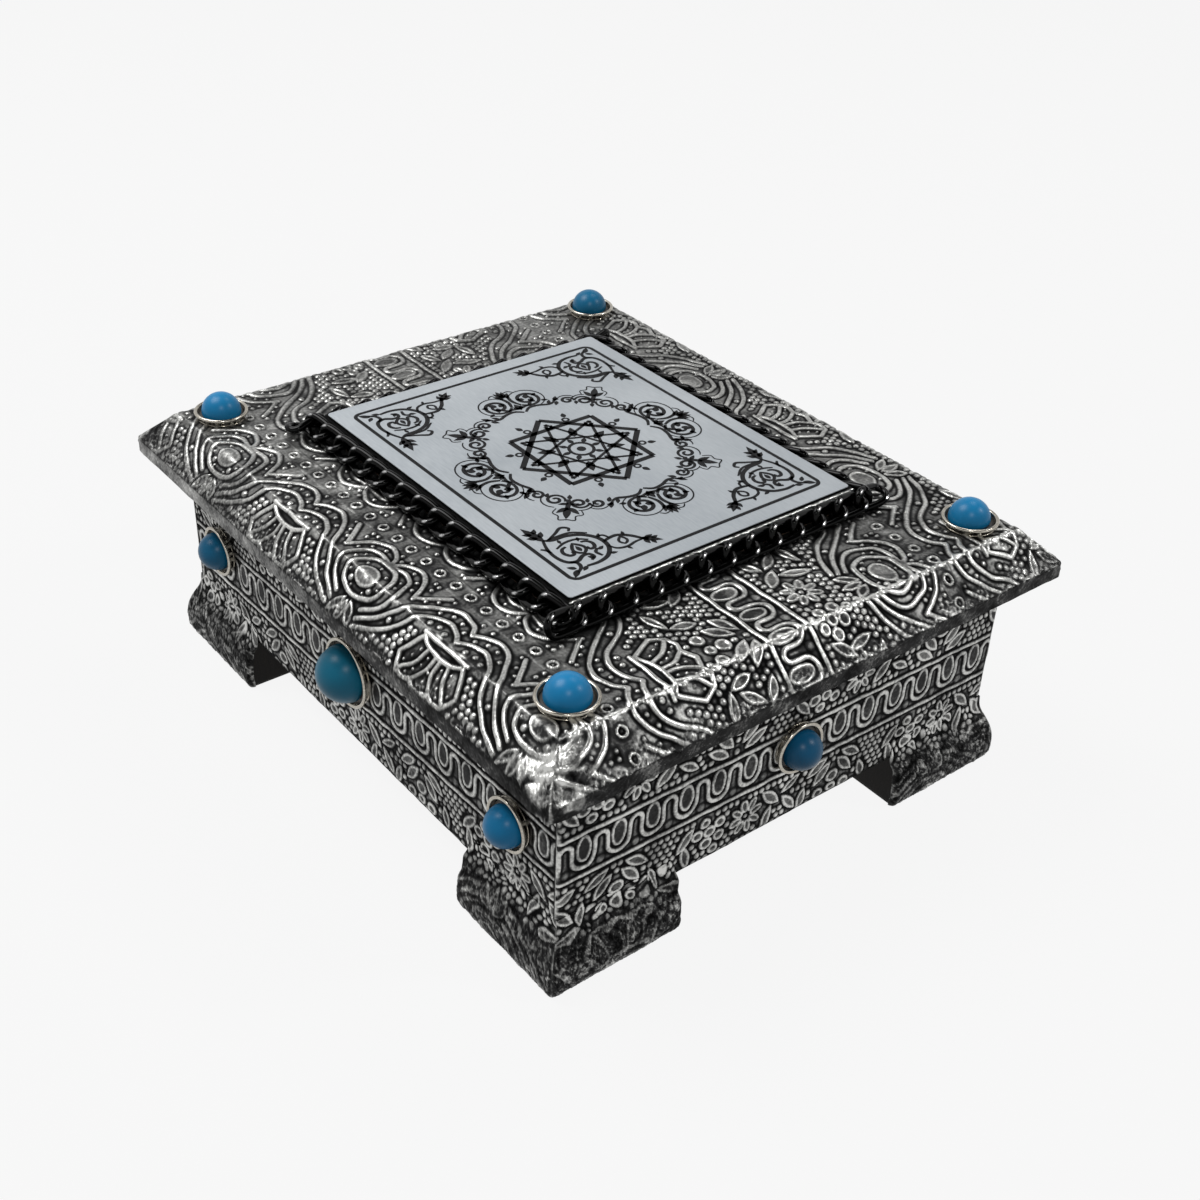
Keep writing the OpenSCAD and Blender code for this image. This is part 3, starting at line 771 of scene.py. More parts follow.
def facets(x, y, size, seed):
    """Crumpled sheet between -1 and 1: flat triangles of about a size in mm that meet in sharp folds."""
    knots = np.random.default_rng(seed).uniform(-1, 1, (KNOTS, KNOTS))
    x = x / size + 0.4 * ripple(x, y, 3 * size, seed + 1) + KNOTS / 2
    y = y / size + 0.4 * ripple(x, y, 3, seed + 2) + KNOTS / 2
    i, j = np.floor(x).astype(int), np.floor(y).astype(int)
    fx, fy = x - i, y - j
    a, b = knots[i % KNOTS, j % KNOTS], knots[(i + 1) % KNOTS, j % KNOTS]
    c, d = knots[i % KNOTS, (j + 1) % KNOTS], knots[(i + 1) % KNOTS, (j + 1) % KNOTS]
    near = a + fx * (b - a) + fy * (c - a)
    far = d + (1 - fx) * (c - d) + (1 - fy) * (b - d)
    return np.where(fx + fy < 1, near, far)


on_oval = [round(float(value), 2) for value in pressed(pitch / 2, -1.7)]
print("sheet on a frieze oval, height and rub:", on_oval)

# %% [markdown]
# A clad face is a grid of points along a side of the box and down a profile, the line that the foil takes
# from top to bottom. A free-form mesh would follow any shape, but a grid keeps its points where the
# ornament needs them: as close together as the lines of the die, everywhere.

# %% Sides and profiles
AROUND = {
    "front": ((1, 0), (0, -1)),
    "left": ((0, -1), (-1, 0)),
    "back": ((-1, 0), (0, 1)),
    "right": ((0, 1), (1, 0)),
}


def by_side(front, left, back, right):
    """One value for each side of the box."""
    return dict(front=front, left=left, back=back, right=right)


def axis_of(side):
    """0 for a side that looks along x, 1 for one that looks along y."""
    return 0 if side in ("left", "right") else 1


def place(side, along, out, up):
    """Points along a side, so far out from the middle of the box and so high, as an array of xyz."""
    (ax, ay), (ox, oy) = AROUND[side]
    along, out, up = np.broadcast_arrays(along, out, up)
    return np.stack([ax * along + ox * out, ay * along + oy * out, up], -1)


def rounded(points, radii, steps=7):
    """A path through points, its inner corners rounded with these radii."""
    p = [np.array(c, float) for c in points]
    path = [p[0]]
    for before, at, after, radius in zip(p, p[1:], p[2:], radii):
        back = (before - at) / np.linalg.norm(before - at)
        on = (after - at) / np.linalg.norm(after - at)
        half = math.acos(np.clip(back @ on, -1, 1)) / 2
        middle = at + (back + on) / np.linalg.norm(back + on) * radius / math.sin(half)
        first = at + back * radius / math.tan(half) - middle
        last = at + on * radius / math.tan(half) - middle
        for u in np.linspace(0, 1, steps):
            spoke = first * (1 - u) + last * u
            path.append(middle + spoke / np.linalg.norm(spoke) * radius)
    return np.array(path + [p[-1]])


def profile_rows(path, step):
    """Points every step down a profile, the length run so far, and the outward normals."""
    run = np.concatenate([[0], np.cumsum(np.linalg.norm(np.diff(path, axis=0), axis=1))])
    length = np.linspace(0, run[-1], round(run[-1] / step) + 1)
    points = np.stack([np.interp(length, run, path[:, k]) for k in (0, 1)], 1)
    slope = np.gradient(points, axis=0)
    slope /= np.linalg.norm(slope, axis=1)[:, None]
    return points, length, np.stack([-slope[:, 1], slope[:, 0]], 1)


print("sides:", *AROUND)

# %% [markdown]
# Real foil has a back, and a closed shell is easier to weigh and to print than an open one. So every grid
# gets a coarse back a little way in, and skirts that join the rims. Each finished mesh is then hung on the
# body it rides on and given its material, and the CAD nodes it stands for are hidden.

# %% Closed sheets and pieces
def closed_sheet(front, back):
    """Points and faces of a closed shell from a fine front grid and a coarse back grid."""
    faces = []
    grids = []
    count = 0
    for grid, flip in ((front, False), (back, True)):
        index = np.arange(grid.shape[0] * grid.shape[1]).reshape(grid.shape[:2]) + count
        quads = [index[:-1, :-1], index[1:, :-1], index[1:, 1:], index[:-1, 1:]]
        quads = np.stack(quads[::-1] if flip else quads, -1).reshape(-1, 4)
        faces += quads.tolist()
        grids.append(index)
        count += index.size
    f, b = grids
    faces.append(f[0, :].tolist() + b[0, ::-1].tolist())
    faces.append(f[-1, ::-1].tolist() + b[-1, :].tolist())
    faces.append(f[::-1, 0].tolist() + b[:, 0].tolist())
    faces.append(f[:, -1].tolist() + b[::-1, -1].tolist())
    return np.vstack([front.reshape(-1, 3), back.reshape(-1, 3)]), faces


def join(parts):
    """Several (points, faces) as one."""
    points = []
    faces = []
    count = 0
    for some, shape in parts:
        points.append(some)
        faces += [[k + count for k in face] for face in shape]
        count += len(some)
    return np.vstack(points), faces


def clad(face, back, rub):
    """A closed sheet and how far its points are rubbed, those of the back not at all."""
    return closed_sheet(face, back), np.concatenate([rub.ravel(), np.zeros(back[..., 0].size)])


def join_clad(strips):
    """Several clad sheets as one."""
    return join([sheet for sheet, _ in strips]), np.concatenate([rub for _, rub in strips])


def add_piece(name, shape, material, body, stands_for=(), rub=None, crisp=60):
    """One smooth-shaded mesh from points in mm, riding on a CAD body, standing for CAD nodes."""
    points, faces = shape
    mesh = bpy.data.meshes.new(name)
    mesh.from_pydata((np.asarray(points) * MM).tolist(), [], faces)
    mesh.shade_smooth()
    mesh.set_sharp_from_angle(angle=math.radians(crisp))
    mesh.materials.append(material)
    if rub is not None:
        tone = mesh.attributes.new("rub", "FLOAT", "POINT")
        tone.data.foreach_set("value", np.asarray(rub, np.float32))
    piece = bpy.data.objects.new(name, mesh)
    bpy.context.scene.collection.objects.link(piece)
    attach(piece, body)
    if stands_for:
        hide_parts(*stands_for)
    return piece


print("tools for sheets ready")

# %% [markdown]
# The lid's foil was laid over the whole lid and folded down at the four bevels. The fold lines are where
# hands and cloths touch most, so they are rubbed bright, and the upper fold gets a painted highlight on
# top. At the corners, where too much foil had to be tucked away, it is crumpled, and the foot of the bevel
# is crushed. Under the chain the foil is darkened as painted shade, and far from the front left corner it
# is painted greyer and flatter, as a painted reflection of the pale room. Scratches could be painted, but
# wear follows the shape, so it is worked out from how far a point lies from the board, the folds and the
# corners. Each side of a used box looks different, and the painted highlights differ with the side, so
# each has its own numbers.

# %% Wear of the lid's foil, with painted shade, highlights and reflection
BEVEL = 10.0       # mm that the bevel runs in from the edge
EDGE = 4.0         # mm of upright edge under the bevel
LID_SHEET = (12.5, 7.7)                          # mm, where the middle of the lid lies on the sheet
CREASE_RUB_AND_HIGHLIGHT = by_side(1.15, 0.42, 0.5, 0.6)     # how bright the upper fold is: partly rubbing, partly a painted highlight, strongest on the front
FOOT_SHINE = by_side(0.8, 0.55, 0.4, 0.5)        # how bright the ragged fold under the bevel is rubbed
WORN = by_side(0.0, 3.0, 0.0, 1.5)               # mm more that the bevel's foot is crushed
EDGE_GREY_TOWARDS_BACK = by_side(0.05, 0.3, 0.1, 0.1)         # grey that the upright edge gains towards the back
FAR_REFLECTION_GREY = by_side(0.03, 0.08, 0.18, 0.05)          # grey added far from the front left corner, a painted reflection of the pale room
FAR_REFLECTION_FLATTENING = by_side(0.28, 0.36, 0.46, 0.3)            # how much less that far part shines, painted flatter as part of the same painted reflection
SMUDGE = by_side(0.12, 0.34, 0.1, 0.1)           # smears of bare metal near the chain
FRAIL = (-82.0, -97.0)                           # mm, the corner where the foil is crumpled most

crease = lid_high[:2] - BEVEL
riser_half = riser_high[:2]
lid_top = lid_high[2]
bevel_foot = lid_low[2] + EDGE
slant = math.hypot(BEVEL, lid_top - bevel_foot)


def lid_wear_and_painted_light(side, x, y, run, past, end):
    """How far the lid's foil is rubbed, with painted shade, painted highlights and a painted reflection
    mixed in, and how high it stands in mm, at points of the flat sheet.

    run is the way from the raised board, past the way beyond the upper fold and end the way to the
    nearest line from the board to a corner, all in mm.
    """
    relief, shine = pressed(y + LID_SHEET[0], x + LID_SHEET[1])
    soft, short, tiny = ripple(x, y, 11.0, 3), ripple(x, y, 3.2, 4), ripple(x, y, 1.3, 6)
    stain, folds, smears = facets(x, y, 3.4, 57), facets(x, y, 4.2, 51), facets(x, y, 3.0, 55)
    net = crinkle(x, y, 2.6, 9)

    bevel = smooth(past, 0.0, 1.2)
    edge = smooth(past, slant - 0.6, slant + 0.2)
    worn = WORN[side] * smooth(y, -40.0, 60.0)
    crush = smooth(past + 1.8 * soft + worn, 8.0, 12.0) * (1 - edge)
    fold = np.exp(-((past / (0.85 + 0.35 * short)) ** 2))
    ragged = np.exp(-(((past - slant + 0.5 + 0.5 * short) / 0.55) ** 2))
    hip = bevel * np.exp(-((end / 0.6) ** 2))
    frail = np.exp(-((np.hypot(x - FRAIL[0], y - FRAIL[1]) / 11.0) ** 2))
    tuck = np.clip(bevel * np.exp(-end / 5.0) + 1.1 * frail * smooth(past, -2.0, 1.0), 0, 1)
    # painted shade: the foil under the chain is darkened, standing in for the chain's shadow
    painted_shade_under_chain = 1 - smooth(run + 0.7 * short, 4.0, 7.0)
    by_chain = smooth(run, 5.0, 7.5) * (1 - smooth(run, 10.0, 16.0))
    # far: away from the front left corner the foil is painted greyer and flatter, a painted reflection of
    # the pale room; on the left this takes in the bevel too
    far = smooth(0.7 * x + y, -60.0, 110.0)
    if side == "left":
        far = np.maximum(far, 0.8 * smooth(y, -30.0, 80.0))
    else:
        far = far * (1 - bevel)

    rub = shine ** (1 - 0.5 * far) * (1 - FAR_REFLECTION_FLATTENING[side] * far) + FAR_REFLECTION_GREY[side] * far + 0.04 * soft
    rub = rub + 0.8 * shine * (1 - shine) * stain
    rub = rub + SMUDGE[side] * by_chain * np.clip(stain + 0.3 * short, 0, 1) * (1 - shine)
    # the upright edge and the crushed foot lose the pattern's tone, and the foil under the chain is
    # darkened as painted shade
    rub = rub * (1 - edge) * (1 - 0.5 * crush) * (1 - 0.8 * painted_shade_under_chain)
    rub = rub + crush * (0.14 + 0.3 * net + 0.1 * tiny)
    # the upper fold is brightened, partly as rubbed metal and partly as a painted highlight that is
    # strongest on the front
    rub = np.maximum(rub, fold * (CREASE_RUB_AND_HIGHLIGHT[side] + 0.3 * relief / LINE + 0.35 * short))
    rub = rub * (1 - 0.7 * tuck) + tuck * (0.34 + 0.6 * smears + 0.16 * net)
    rub = np.maximum(rub, hip * (0.5 + 0.4 * soft))
    # the upright edge: grey, lighter towards the back, with crinkles and smears
    edge_grey = 0.22 + EDGE_GREY_TOWARDS_BACK[side] * smooth(y, -60.0, 70.0)
    rub = np.maximum(rub, edge * (edge_grey + 0.08 * soft + 0.16 * net + 0.14 * smears))
    rub = np.maximum(rub, ragged * FOOT_SHINE[side] * (0.35 + 0.6 * net + 0.4 * smears))

    height = relief * (1 - edge) * (1 - 0.55 * fold) * (1 - 0.6 * crush) * (1 - 0.5 * tuck)
    height = height - SUNK * (1 - 0.5 * edge) + 0.07 * soft + 0.04 * short
    height = height + crush * (0.12 * net - 0.05) + 0.1 * fold * np.abs(short)
    height = height + tuck * (0.5 * folds + 0.06 * net)
    return rub, height * (1 - bevel * (1 - smooth(end, 0.0, 0.9)))


print("lid: flat top to", crease, "mm, bevel", round(slant, 1), "mm down the slope")

# %% [markdown]
# In the mesh the lid's foil is four strips that meet on the lines from the raised board to the corners:
# flat top, bevel, and the upright edge. A single grid would have to be squeezed round the corners. The
# strips keep their rows straight along the folds, and on the flat they read the same sheet, so the
# ornament runs on from one to the next.

# %% Lid foil
FINE = 0.31        # mm between the points of a pressed sheet
BACK = 0.62        # mm from the face in to the back of a sheet
CREASE = 0.9       # mm, radius of the upper fold
HEM = by_side(0.9, 2.2, 1.2, 1.6)   # mm, radius of the fold under the bevel
CORNER = 3.0       # mm, radius of the lid's corners at the edge


def turned_corner(distance, radius):
    """Angle of a rounded corner at a distance along the side from its middle, 0 where it is straight."""
    return np.clip(1 - distance / np.maximum(radius, 1e-6), 0, 1) * math.pi / 4


def coarse(grid, rows=14, columns=9):
    """A few rows and columns of a grid, its rims included."""
    i = np.unique(np.linspace(0, grid.shape[0] - 1, rows).round().astype(int))
    j = np.unique(np.linspace(0, grid.shape[1] - 1, columns).round().astype(int))
    return grid[np.ix_(i, j)]


def lid_strip(side):
    axis = axis_of(side)
    reach, half = crease[axis], crease[1 - axis]
    inner, inner_half = riser_half[axis] - reach, riser_half[1 - axis]
    bends = [(inner, lid_top), (0, lid_top), (BEVEL, bevel_foot), (BEVEL, lid_low[2])]
    rows, run, normal = profile_rows(rounded(bends, (CREASE, HEM[side])), FINE)
    out = rows[:, :1]
    run = run[:, None]
    past = run + inner
    half_length = np.where(out > 0, half + out, half - out * (half - inner_half) / inner)
    u = np.linspace(-1, 1, round(2 * half_length.max() / FINE) + 1) * half_length
    end = half_length - np.abs(u)
    x, y, _ = np.moveaxis(place(side, u, reach + past, 0.0), -1, 0)
    rub, height = lid_wear_and_painted_light(side, x, y, run, past, end)

    radius = CORNER * np.clip(out / BEVEL, 0, 1)
    swing = turned_corner(end, radius)
    u = np.sign(u) * np.where(swing > 0, half_length - radius + radius * np.sin(swing), np.abs(u))
    out = reach + out - radius * (1 - np.cos(swing))
    lean = normal[:, :1] * np.cos(swing)
    aside = normal[:, :1] * np.sin(swing) * np.sign(u)

    def lay(lift):
        return place(side, u + aside * lift, out + lean * lift, rows[:, 1:] + normal[:, 1:] * lift)

    return clad(lay(height), coarse(lay(np.full_like(u, -BACK))), rub)


for side in AROUND:
    shape, rub = lid_strip(side)
    add_piece(f"lid_foil_{side}", shape, foil, "lid", ["lid_foil"], rub)
    print("lid foil,", side, len(shape[1]), "faces")

# %% [markdown]
# The walls wear the same sheet, with the frieze running round the middle. Nobody lined it up with care,
# so it drifts up or down a little along each wall. The front and back sheets lap round the corners over
# the side sheets, and the back one is cut out where the hinge leaves come through. A wall is flat, so a
# plain upright grid is enough, and only its ends are bent round.

# %% Wall foils
WALL_SHEET = {             # mm along the sheet, mm across it at floor level, drift per mm
    "front": (20.5, 36.5, -0.0125),
    "left": (3.2, 35.8, 0.033),
    "back": (11.0, 36.2, 0.010),
    "right": (40.0, 36.0, -0.015),
}
LAP = 0.8                  # mm, radius where a sheet laps round a corner
WALL_RELIEF = 0.85         # share of the lid's relief
WALL_SHINE = by_side(0.92, 0.9, 0.85, 0.85)   # wiped less than the lid
BESIDE_LEAF = 0.15         # mm that the foil stays clear of a hinge leaf at its sides
UNDER_LEAF = 0.1           # mm that it stays clear below
leaf_low, leaf_high = corners("right_hinge_case_leaf")


def wall_top(side, u, top):
    """Upper rim of a wall's foil: lower behind the hinge leaves."""
    if side != "back":
        return np.full_like(u, top)
    at_leaf = (np.abs(u) > leaf_low[0] - BESIDE_LEAF) & (np.abs(u) < leaf_high[0] + BESIDE_LEAF)
    return np.where(at_leaf, leaf_low[2] - UNDER_LEAF, top)


def wall_foil(side):
    low, high = corners(f"{side}_foil")
    axis = axis_of(side)
    reach, half = max(abs(low[axis]), abs(high[axis])), high[1 - axis]
    lap = LAP if axis == 1 else 0.0
    u = np.linspace(-half, half, round(2 * half / FINE) + 1)[None, :]
    top = wall_top(side, u, high[2])
    z = top - np.linspace(0, 1, round((high[2] - low[2]) / FINE) + 1)[:, None] * (top - low[2])
    u = u + 0 * z
    end = half - np.abs(u)

    along, across, drift = WALL_SHEET[side]
    relief, shine = pressed(u + along, across - z + drift * u)
    soft = ripple(u, z, 12.0, 11)
    short = ripple(u, z, 3.4, 12)
    rim = 1 - smooth(np.minimum(high[2] - z, z - low[2]), 0.2, 1.2)
    arris = np.exp(-((end / 0.7) ** 2))
    rub = shine * WALL_SHINE[side] * (1 - 0.4 * rim) + 0.05 * soft
    rub = np.maximum(rub, arris * (0.6 + 0.35 * short))
    height = relief * WALL_RELIEF * (1 - arris) * (1 - rim) - SUNK + 0.08 * soft + 0.04 * short
    height = height * (1 - np.exp(-((end / 0.5) ** 2)))

    swing = 2 * turned_corner(end, lap) if lap else 0 * u
    at = np.sign(u) * np.where(swing > 0, half - lap + lap * np.sin(swing), np.abs(u))
    out = reach - lap * (1 - np.cos(swing))

    def lay(lift):
        return place(side, at + np.sin(swing) * np.sign(u) * lift, out + np.cos(swing) * lift, z)

    within = np.clip(at, 0.01 - half, half - 0.01)
    return clad(lay(height), coarse(place(side, within, reach - BACK - lap, z), 6, 40), rub)


for side in AROUND:
    shape, rub = wall_foil(side)
    add_piece(f"{side}_foil_sheet", shape, foil, "case", [f"{side}_foil"], rub)
    print(side, "wall foil,", len(shape[1]), "faces")

# %% [markdown]
# Each foot is a wooden block under a corner, wider than the wall above it. The sheet runs on from the
# wall, sweeps out over the block's round shoulder and down to just above the table. It had to be pushed
# into that hollow by hand, so the ornament is half crushed and full of small creases. Two strips make it,
# one on each outer face, which meet on the rounded corner and turn in a little at their free ends.

# %% Foot foils
FOOT_BULGE = 4.7           # mm that a foot stands out past the wall
FOOT_LINE = [(0.05, 20.5), (0.3, 17.8), (1.0, 15.8), (2.1, 13.8), (3.2, 11.6), (4.1, 9.2), (4.6, 6.6),
             (4.7, 4.0), (4.5, 1.8), (3.9, 0.3)]
FOOT_CORNER = 2.0          # mm, radius of the block's outer corner
FOOT_END = 1.8             # mm, radius where a face turns to the bare end
FOOT_BACK = 0.45           # mm from the face in to the back of the sheet
foot_line = curve(FOOT_LINE, 10)
wall_x, wall_y = -left_low[0], -front_low[1]


def foot_strip(side, x_sign, y_sign, inner):
    """One of the two faces of a foot, from its mitred corner to the inner end."""
    (ax, ay), _ = AROUND[side]
    axis = axis_of(side)
    reach, half = (wall_x, wall_y) if axis == 0 else (wall_y, wall_x)
    sign = ax * x_sign + ay * y_sign
    rows, run, normal = profile_rows(foot_line, FINE)
    out = rows[:, :1]
    torn = inner + 0.3 * ripple(rows[:, 1:], 0, 4.0, 21) - 0.1
    outer = half + out
    share = np.linspace(0, 1, round((outer.max() - inner) / FINE) + 1)
    share = share if sign > 0 else share[::-1]
    u = sign * (torn + (outer - torn) * share)
    end = outer - np.abs(u)

    along, across, drift = WALL_SHEET[side]
    down = run[:, None] + 0 * u
    relief, shine = pressed(u + along, across - rows[0, 1] + down + drift * u, 0.7)
    patchy = ripple(u, down, 7.0, 22 + axis)
    net = crinkle(1.6 * u, down, 3.4, 24 + axis)
    streaks = crinkle(u, 0.5 * down + 0.4 * u, 1.7, 26 + axis)
    folds = facets(u, down, 2.6, 28 + axis)
    arris = np.exp(-((end / 0.8) ** 2))
    hem = np.exp(-((np.abs(np.abs(u) - torn) / 0.6) ** 2))
    low_down = smooth(down, 2.0, 9.0)
    scuffed = 0.06 + 0.08 * patchy + 0.42 * net * (0.6 + 0.4 * patchy) + 0.26 * streaks + 0.14 * folds
    rub = shine * (1 - 0.7 * low_down) + low_down * scuffed
    rub = np.maximum(rub, arris * (0.42 + 0.3 * folds))
    rub = np.maximum(rub, hem * (0.4 + 0.3 * folds))
    creased = 0.09 * net + 0.08 * streaks + 0.11 * folds
    height = relief * (0.8 - 0.55 * low_down) - 0.2 + low_down * creased
    height = height * smooth(end, 0.0, 0.8) * smooth(down, 0.0, 2.0) * smooth(np.abs(u) - torn, 0.0, 1.2)

    radius = FOOT_CORNER * np.clip(out / FOOT_BULGE, 0, 1)
    swing = turned_corner(end, radius)
    at = np.where(swing > 0, outer - radius + radius * np.sin(swing), np.abs(u))
    away = reach + out - radius * (1 - np.cos(swing))
    radius = FOOT_END * np.clip(out / FOOT_BULGE, 0, 1)
    turn_in = 2 * turned_corner(np.abs(u) - torn, radius)
    at = np.sign(u) * np.where(turn_in > 0, torn + radius - radius * np.sin(turn_in), at)
    away = away - radius * (1 - np.cos(turn_in))
    lean = normal[:, :1] * np.cos(swing) * np.cos(turn_in)
    aside = normal[:, :1] * (np.sin(swing) - np.sin(turn_in)) * np.sign(u)

    def lay(lift):
        return place(side, at + aside * lift, away + lean * lift, rows[:, 1:] + normal[:, 1:] * lift)

    return clad(lay(height), coarse(lay(np.full_like(u, -FOOT_BACK)), 16, 40), rub)


foot_ends = {}
for front_back, y_sign in (("front", -1), ("back", 1)):
    for left_right, x_sign in (("left", -1), ("right", 1)):
        node = f"foot_foil_{front_back}_{left_right}"
        inner_x, inner_y, _ = np.minimum(*np.abs(corners(node)))
        foot_ends[f"foot_{front_back}_{left_right}"] = x_sign, y_sign, inner_x, inner_y
        shape, rub = join_clad([foot_strip(front_back, x_sign, y_sign, inner_x),
                                foot_strip(left_right, x_sign, y_sign, inner_y)])
        add_piece(f"{node}_sheet", shape, foil, "case", [node], rub)
        print(node, len(shape[1]), "faces")

# %% [markdown]
# The block behind a foot's foil was cut and sanded round, then painted black, and its ends that face the
# gap between the feet stay bare. Outlines with soft corners, stacked from the table up, follow the
# same line as the foil, so the two fit at every height.

# %% Foot blocks
FOOT_ROOM = 0.3            # mm from the sheet's line in to the block
END_ROOM = 0.35            # mm that a bare end stands back from the foil's end
CHAMFER = 0.6              # mm, round the block's underside


def ring_faces(rows, count):
    """Faces between closed rings of count points each, one above the other."""
    index = np.arange(rows * count).reshape(rows, count)
    on = np.roll(index, -1, 1)
    return np.stack([index[:-1], on[:-1], on[1:], index[1:]], -1).reshape(-1, 4).tolist()


def stacked(rings):
    """Closed shape from rings of xyz points, lowest first, each anticlockwise from above."""
    count = len(rings[0])
    lowest = list(range(count))
    highest = [(len(rings) - 1) * count + i for i in lowest]
    return np.vstack(rings), [lowest[::-1], *ring_faces(len(rings), count), highest]


def foot_block(x_sign, y_sign, inner_x, inner_y, height):
    """The painted block behind the sheet, with the same bulge and soft corners."""
    rings = []
    for z in [0.0, *np.linspace(CHAMFER, height, 16)]:
        soft = CHAMFER if z == 0 else 0.0
        bulge = np.interp(z, foot_line[::-1, 1], foot_line[::-1, 0]) - FOOT_ROOM - soft
        x0, x1 = inner_x + END_ROOM + soft, wall_x + bulge
        y0, y1 = inner_y + END_ROOM + soft, wall_y + bulge
        share = max(bulge / FOOT_BULGE, 0.1)
        half_way = ((x0 + x1) / 2, y0)
        outline = [half_way, (x1, y0), (x1, y1), (x0, y1), (x0, y0), half_way]
        radii = (FOOT_END * share, FOOT_CORNER * share, FOOT_END * share, 0.5)
        outline = rounded(outline, radii)[:-1][:: x_sign * y_sign] * (x_sign, y_sign)
        rings.append(np.column_stack([outline, np.full(len(outline), z)]))
    return stacked(rings)


for wood, ends in foot_ends.items():
    block = foot_block(*ends, corners(wood)[1][2])
    add_piece(f"{wood}_block", block, black_paint, "case", [wood], crisp=50)
    print(wood, len(block[1]), "faces")

# %% [markdown]
# The raised board under the plate is wrapped in foil too. Most of it hides behind the chain, and there the
# wrap is left black as painted shade. What shows is the narrow ledge round the plate, folded by hand and
# uneven; its fold is partly rubbed and partly given a painted highlight, bright on the front and almost
# none on the left. It is made like the lid's strips, but needs no ornament, since none can be told apart
# on so narrow a rim.

# %% Foil round the raised board
LEDGE = 1.2        # mm that the foil runs in under the plate
LEDGE_UP = 0.07    # mm that the fold stands above the board
# how bright the ledge's fold is on each side: partly rubbed metal, partly a painted highlight, strongest
# on the front
LEDGE_RUB_AND_HIGHLIGHT = by_side(1.25, 0.04, 0.1, 0.2)
LEDGE_SEED = by_side(36, 35, 35, 36)
RISER_BACK = 0.5   # mm from the face in to the back of the sheet


def riser_strip(side):
    axis = axis_of(side)
    reach, half = riser_half[axis], riser_half[1 - axis]
    top, low = riser_high[2] + LEDGE_UP, riser_low[2]
    path = rounded([(-LEDGE, top), (-0.05, top), (0.0, low + 0.15)], (0.35,))
    rows, run, normal = profile_rows(path, 0.3)
    half_length = half + rows[:, :1]
    u = np.linspace(-1, 1, round(2 * half / 0.4)) * half_length
    down = run[:, None] + 0 * u
    bent = ripple(u, down, 4.5, LEDGE_SEED[side])
    short = ripple(u, down, 1.6, LEDGE_SEED[side] + 4)
    ends = smooth(half_length - np.abs(u), 0.0, 1.0)
    shown = np.exp(-(((down - LEDGE - 0.15 * bent) / 0.5) ** 2))
    # the fold of the ledge gets a painted highlight; the rest of the wrap stays black as painted shade
    # behind the chain
    rub = shown * LEDGE_RUB_AND_HIGHLIGHT[side] * (1 + 0.3 * bent + 0.25 * short)
    height = ends * (0.16 * bent + 0.1 * short - 0.05) * smooth(down, 0.3, 1.0)

    def lay(lift):
        out = reach + rows[:, :1] + normal[:, :1] * lift
        return place(side, u, out, rows[:, 1:] + normal[:, 1:] * lift)

    return clad(lay(height), coarse(lay(np.full_like(u, -RISER_BACK)), 8, 5), rub)


shape, rub = join_clad([riser_strip(side) for side in AROUND])
add_piece("riser_foil_wrap", shape, foil, "lid", ["riser_foil"], rub)
print("riser foil,", len(shape[1]), "faces")

# %% [markdown]
# The plate is thin coated aluminium, cut with a shear and stuck down with black foam tape. The tape shows
# as a dark line under the plate's edge, and its black also stands in for the shade there as painted shade.
# A cube with bevelled edges would do for both. Outlines with round corners, stacked like those of the
# feet, give the corners and the thin edge their own radius each.

# %% Title plate
TAPE = 0.5         # mm thick
TAPE_IN = 0.08     # mm that the tape stands back under the plate's edge
PLATE_UP = 0.48    # mm from the raised board up to the plate, which sinks a little into the tape
plate_half = plate_high[:2]
tape_half = plate_half - TAPE_IN


def rounded_rectangle(half_x, half_y, radius, steps=8):
    """Outline points, anticlockwise."""
    points = []
    for k, (sx, sy) in enumerate([(1, 1), (-1, 1), (-1, -1), (1, -1)]):
        for a in np.linspace(0, math.pi / 2, steps) + k * math.pi / 2:
            points.append((sx * (half_x - radius) + radius * math.cos(a),
                           sy * (half_y - radius) + radius * math.sin(a)))
    return np.array(points)


def slab(half_x, half_y, radius, low, high, soften):
    """A flat sheet with slightly rounded upper and lower edges."""
    rings = []
    insets = [(low, soften), (low + soften, 0), (high - soften, 0), (high - 0.3 * soften, 0.3 * soften),
              (high, soften)]
    for z, inset in insets:
        outline = rounded_rectangle(half_x - inset, half_y - inset, radius)
        rings.append(np.column_stack([outline, np.full(len(outline), z)]))
    return stacked(rings)


# the tape under the plate; its black is also painted shade under the plate's edge
tape = slab(*tape_half, 0.95, plate_low[2], plate_low[2] + TAPE, 0.05)
add_piece("plate_tape_and_painted_shade", tape, black_tape_and_painted_shade, "lid")
sheet = slab(*plate_half, 1.0, plate_low[2] + PLATE_UP, plate_high[2], 0.1)
add_piece("title_plate_sheet", sheet, satin, "lid", ["title_plate"], crisp=35)
print("plate", 2 * plate_half, "mm")

# %% [markdown]
# The print is one thick pass of black ink: a border line, arabesques in the corners and a scalloped
# wreath of scrolls. The middle holds a plain eight-pointed star rosette, a common geometric ornament.
# A picture on the plate would blur close up, while outlines stay sharp. So each stroke is a thin ribbon
# laid on the plate, swelling and thinning as a brush does, and each leaf is a small filled outline.

# %% Ribbons and leaves of ink
INK_LOW = plate_high[2] - 0.02
INK_HIGH = plate_high[2] + 0.04
SPREAD = 0.16      # mm that a printed line comes out wider than it was drawn


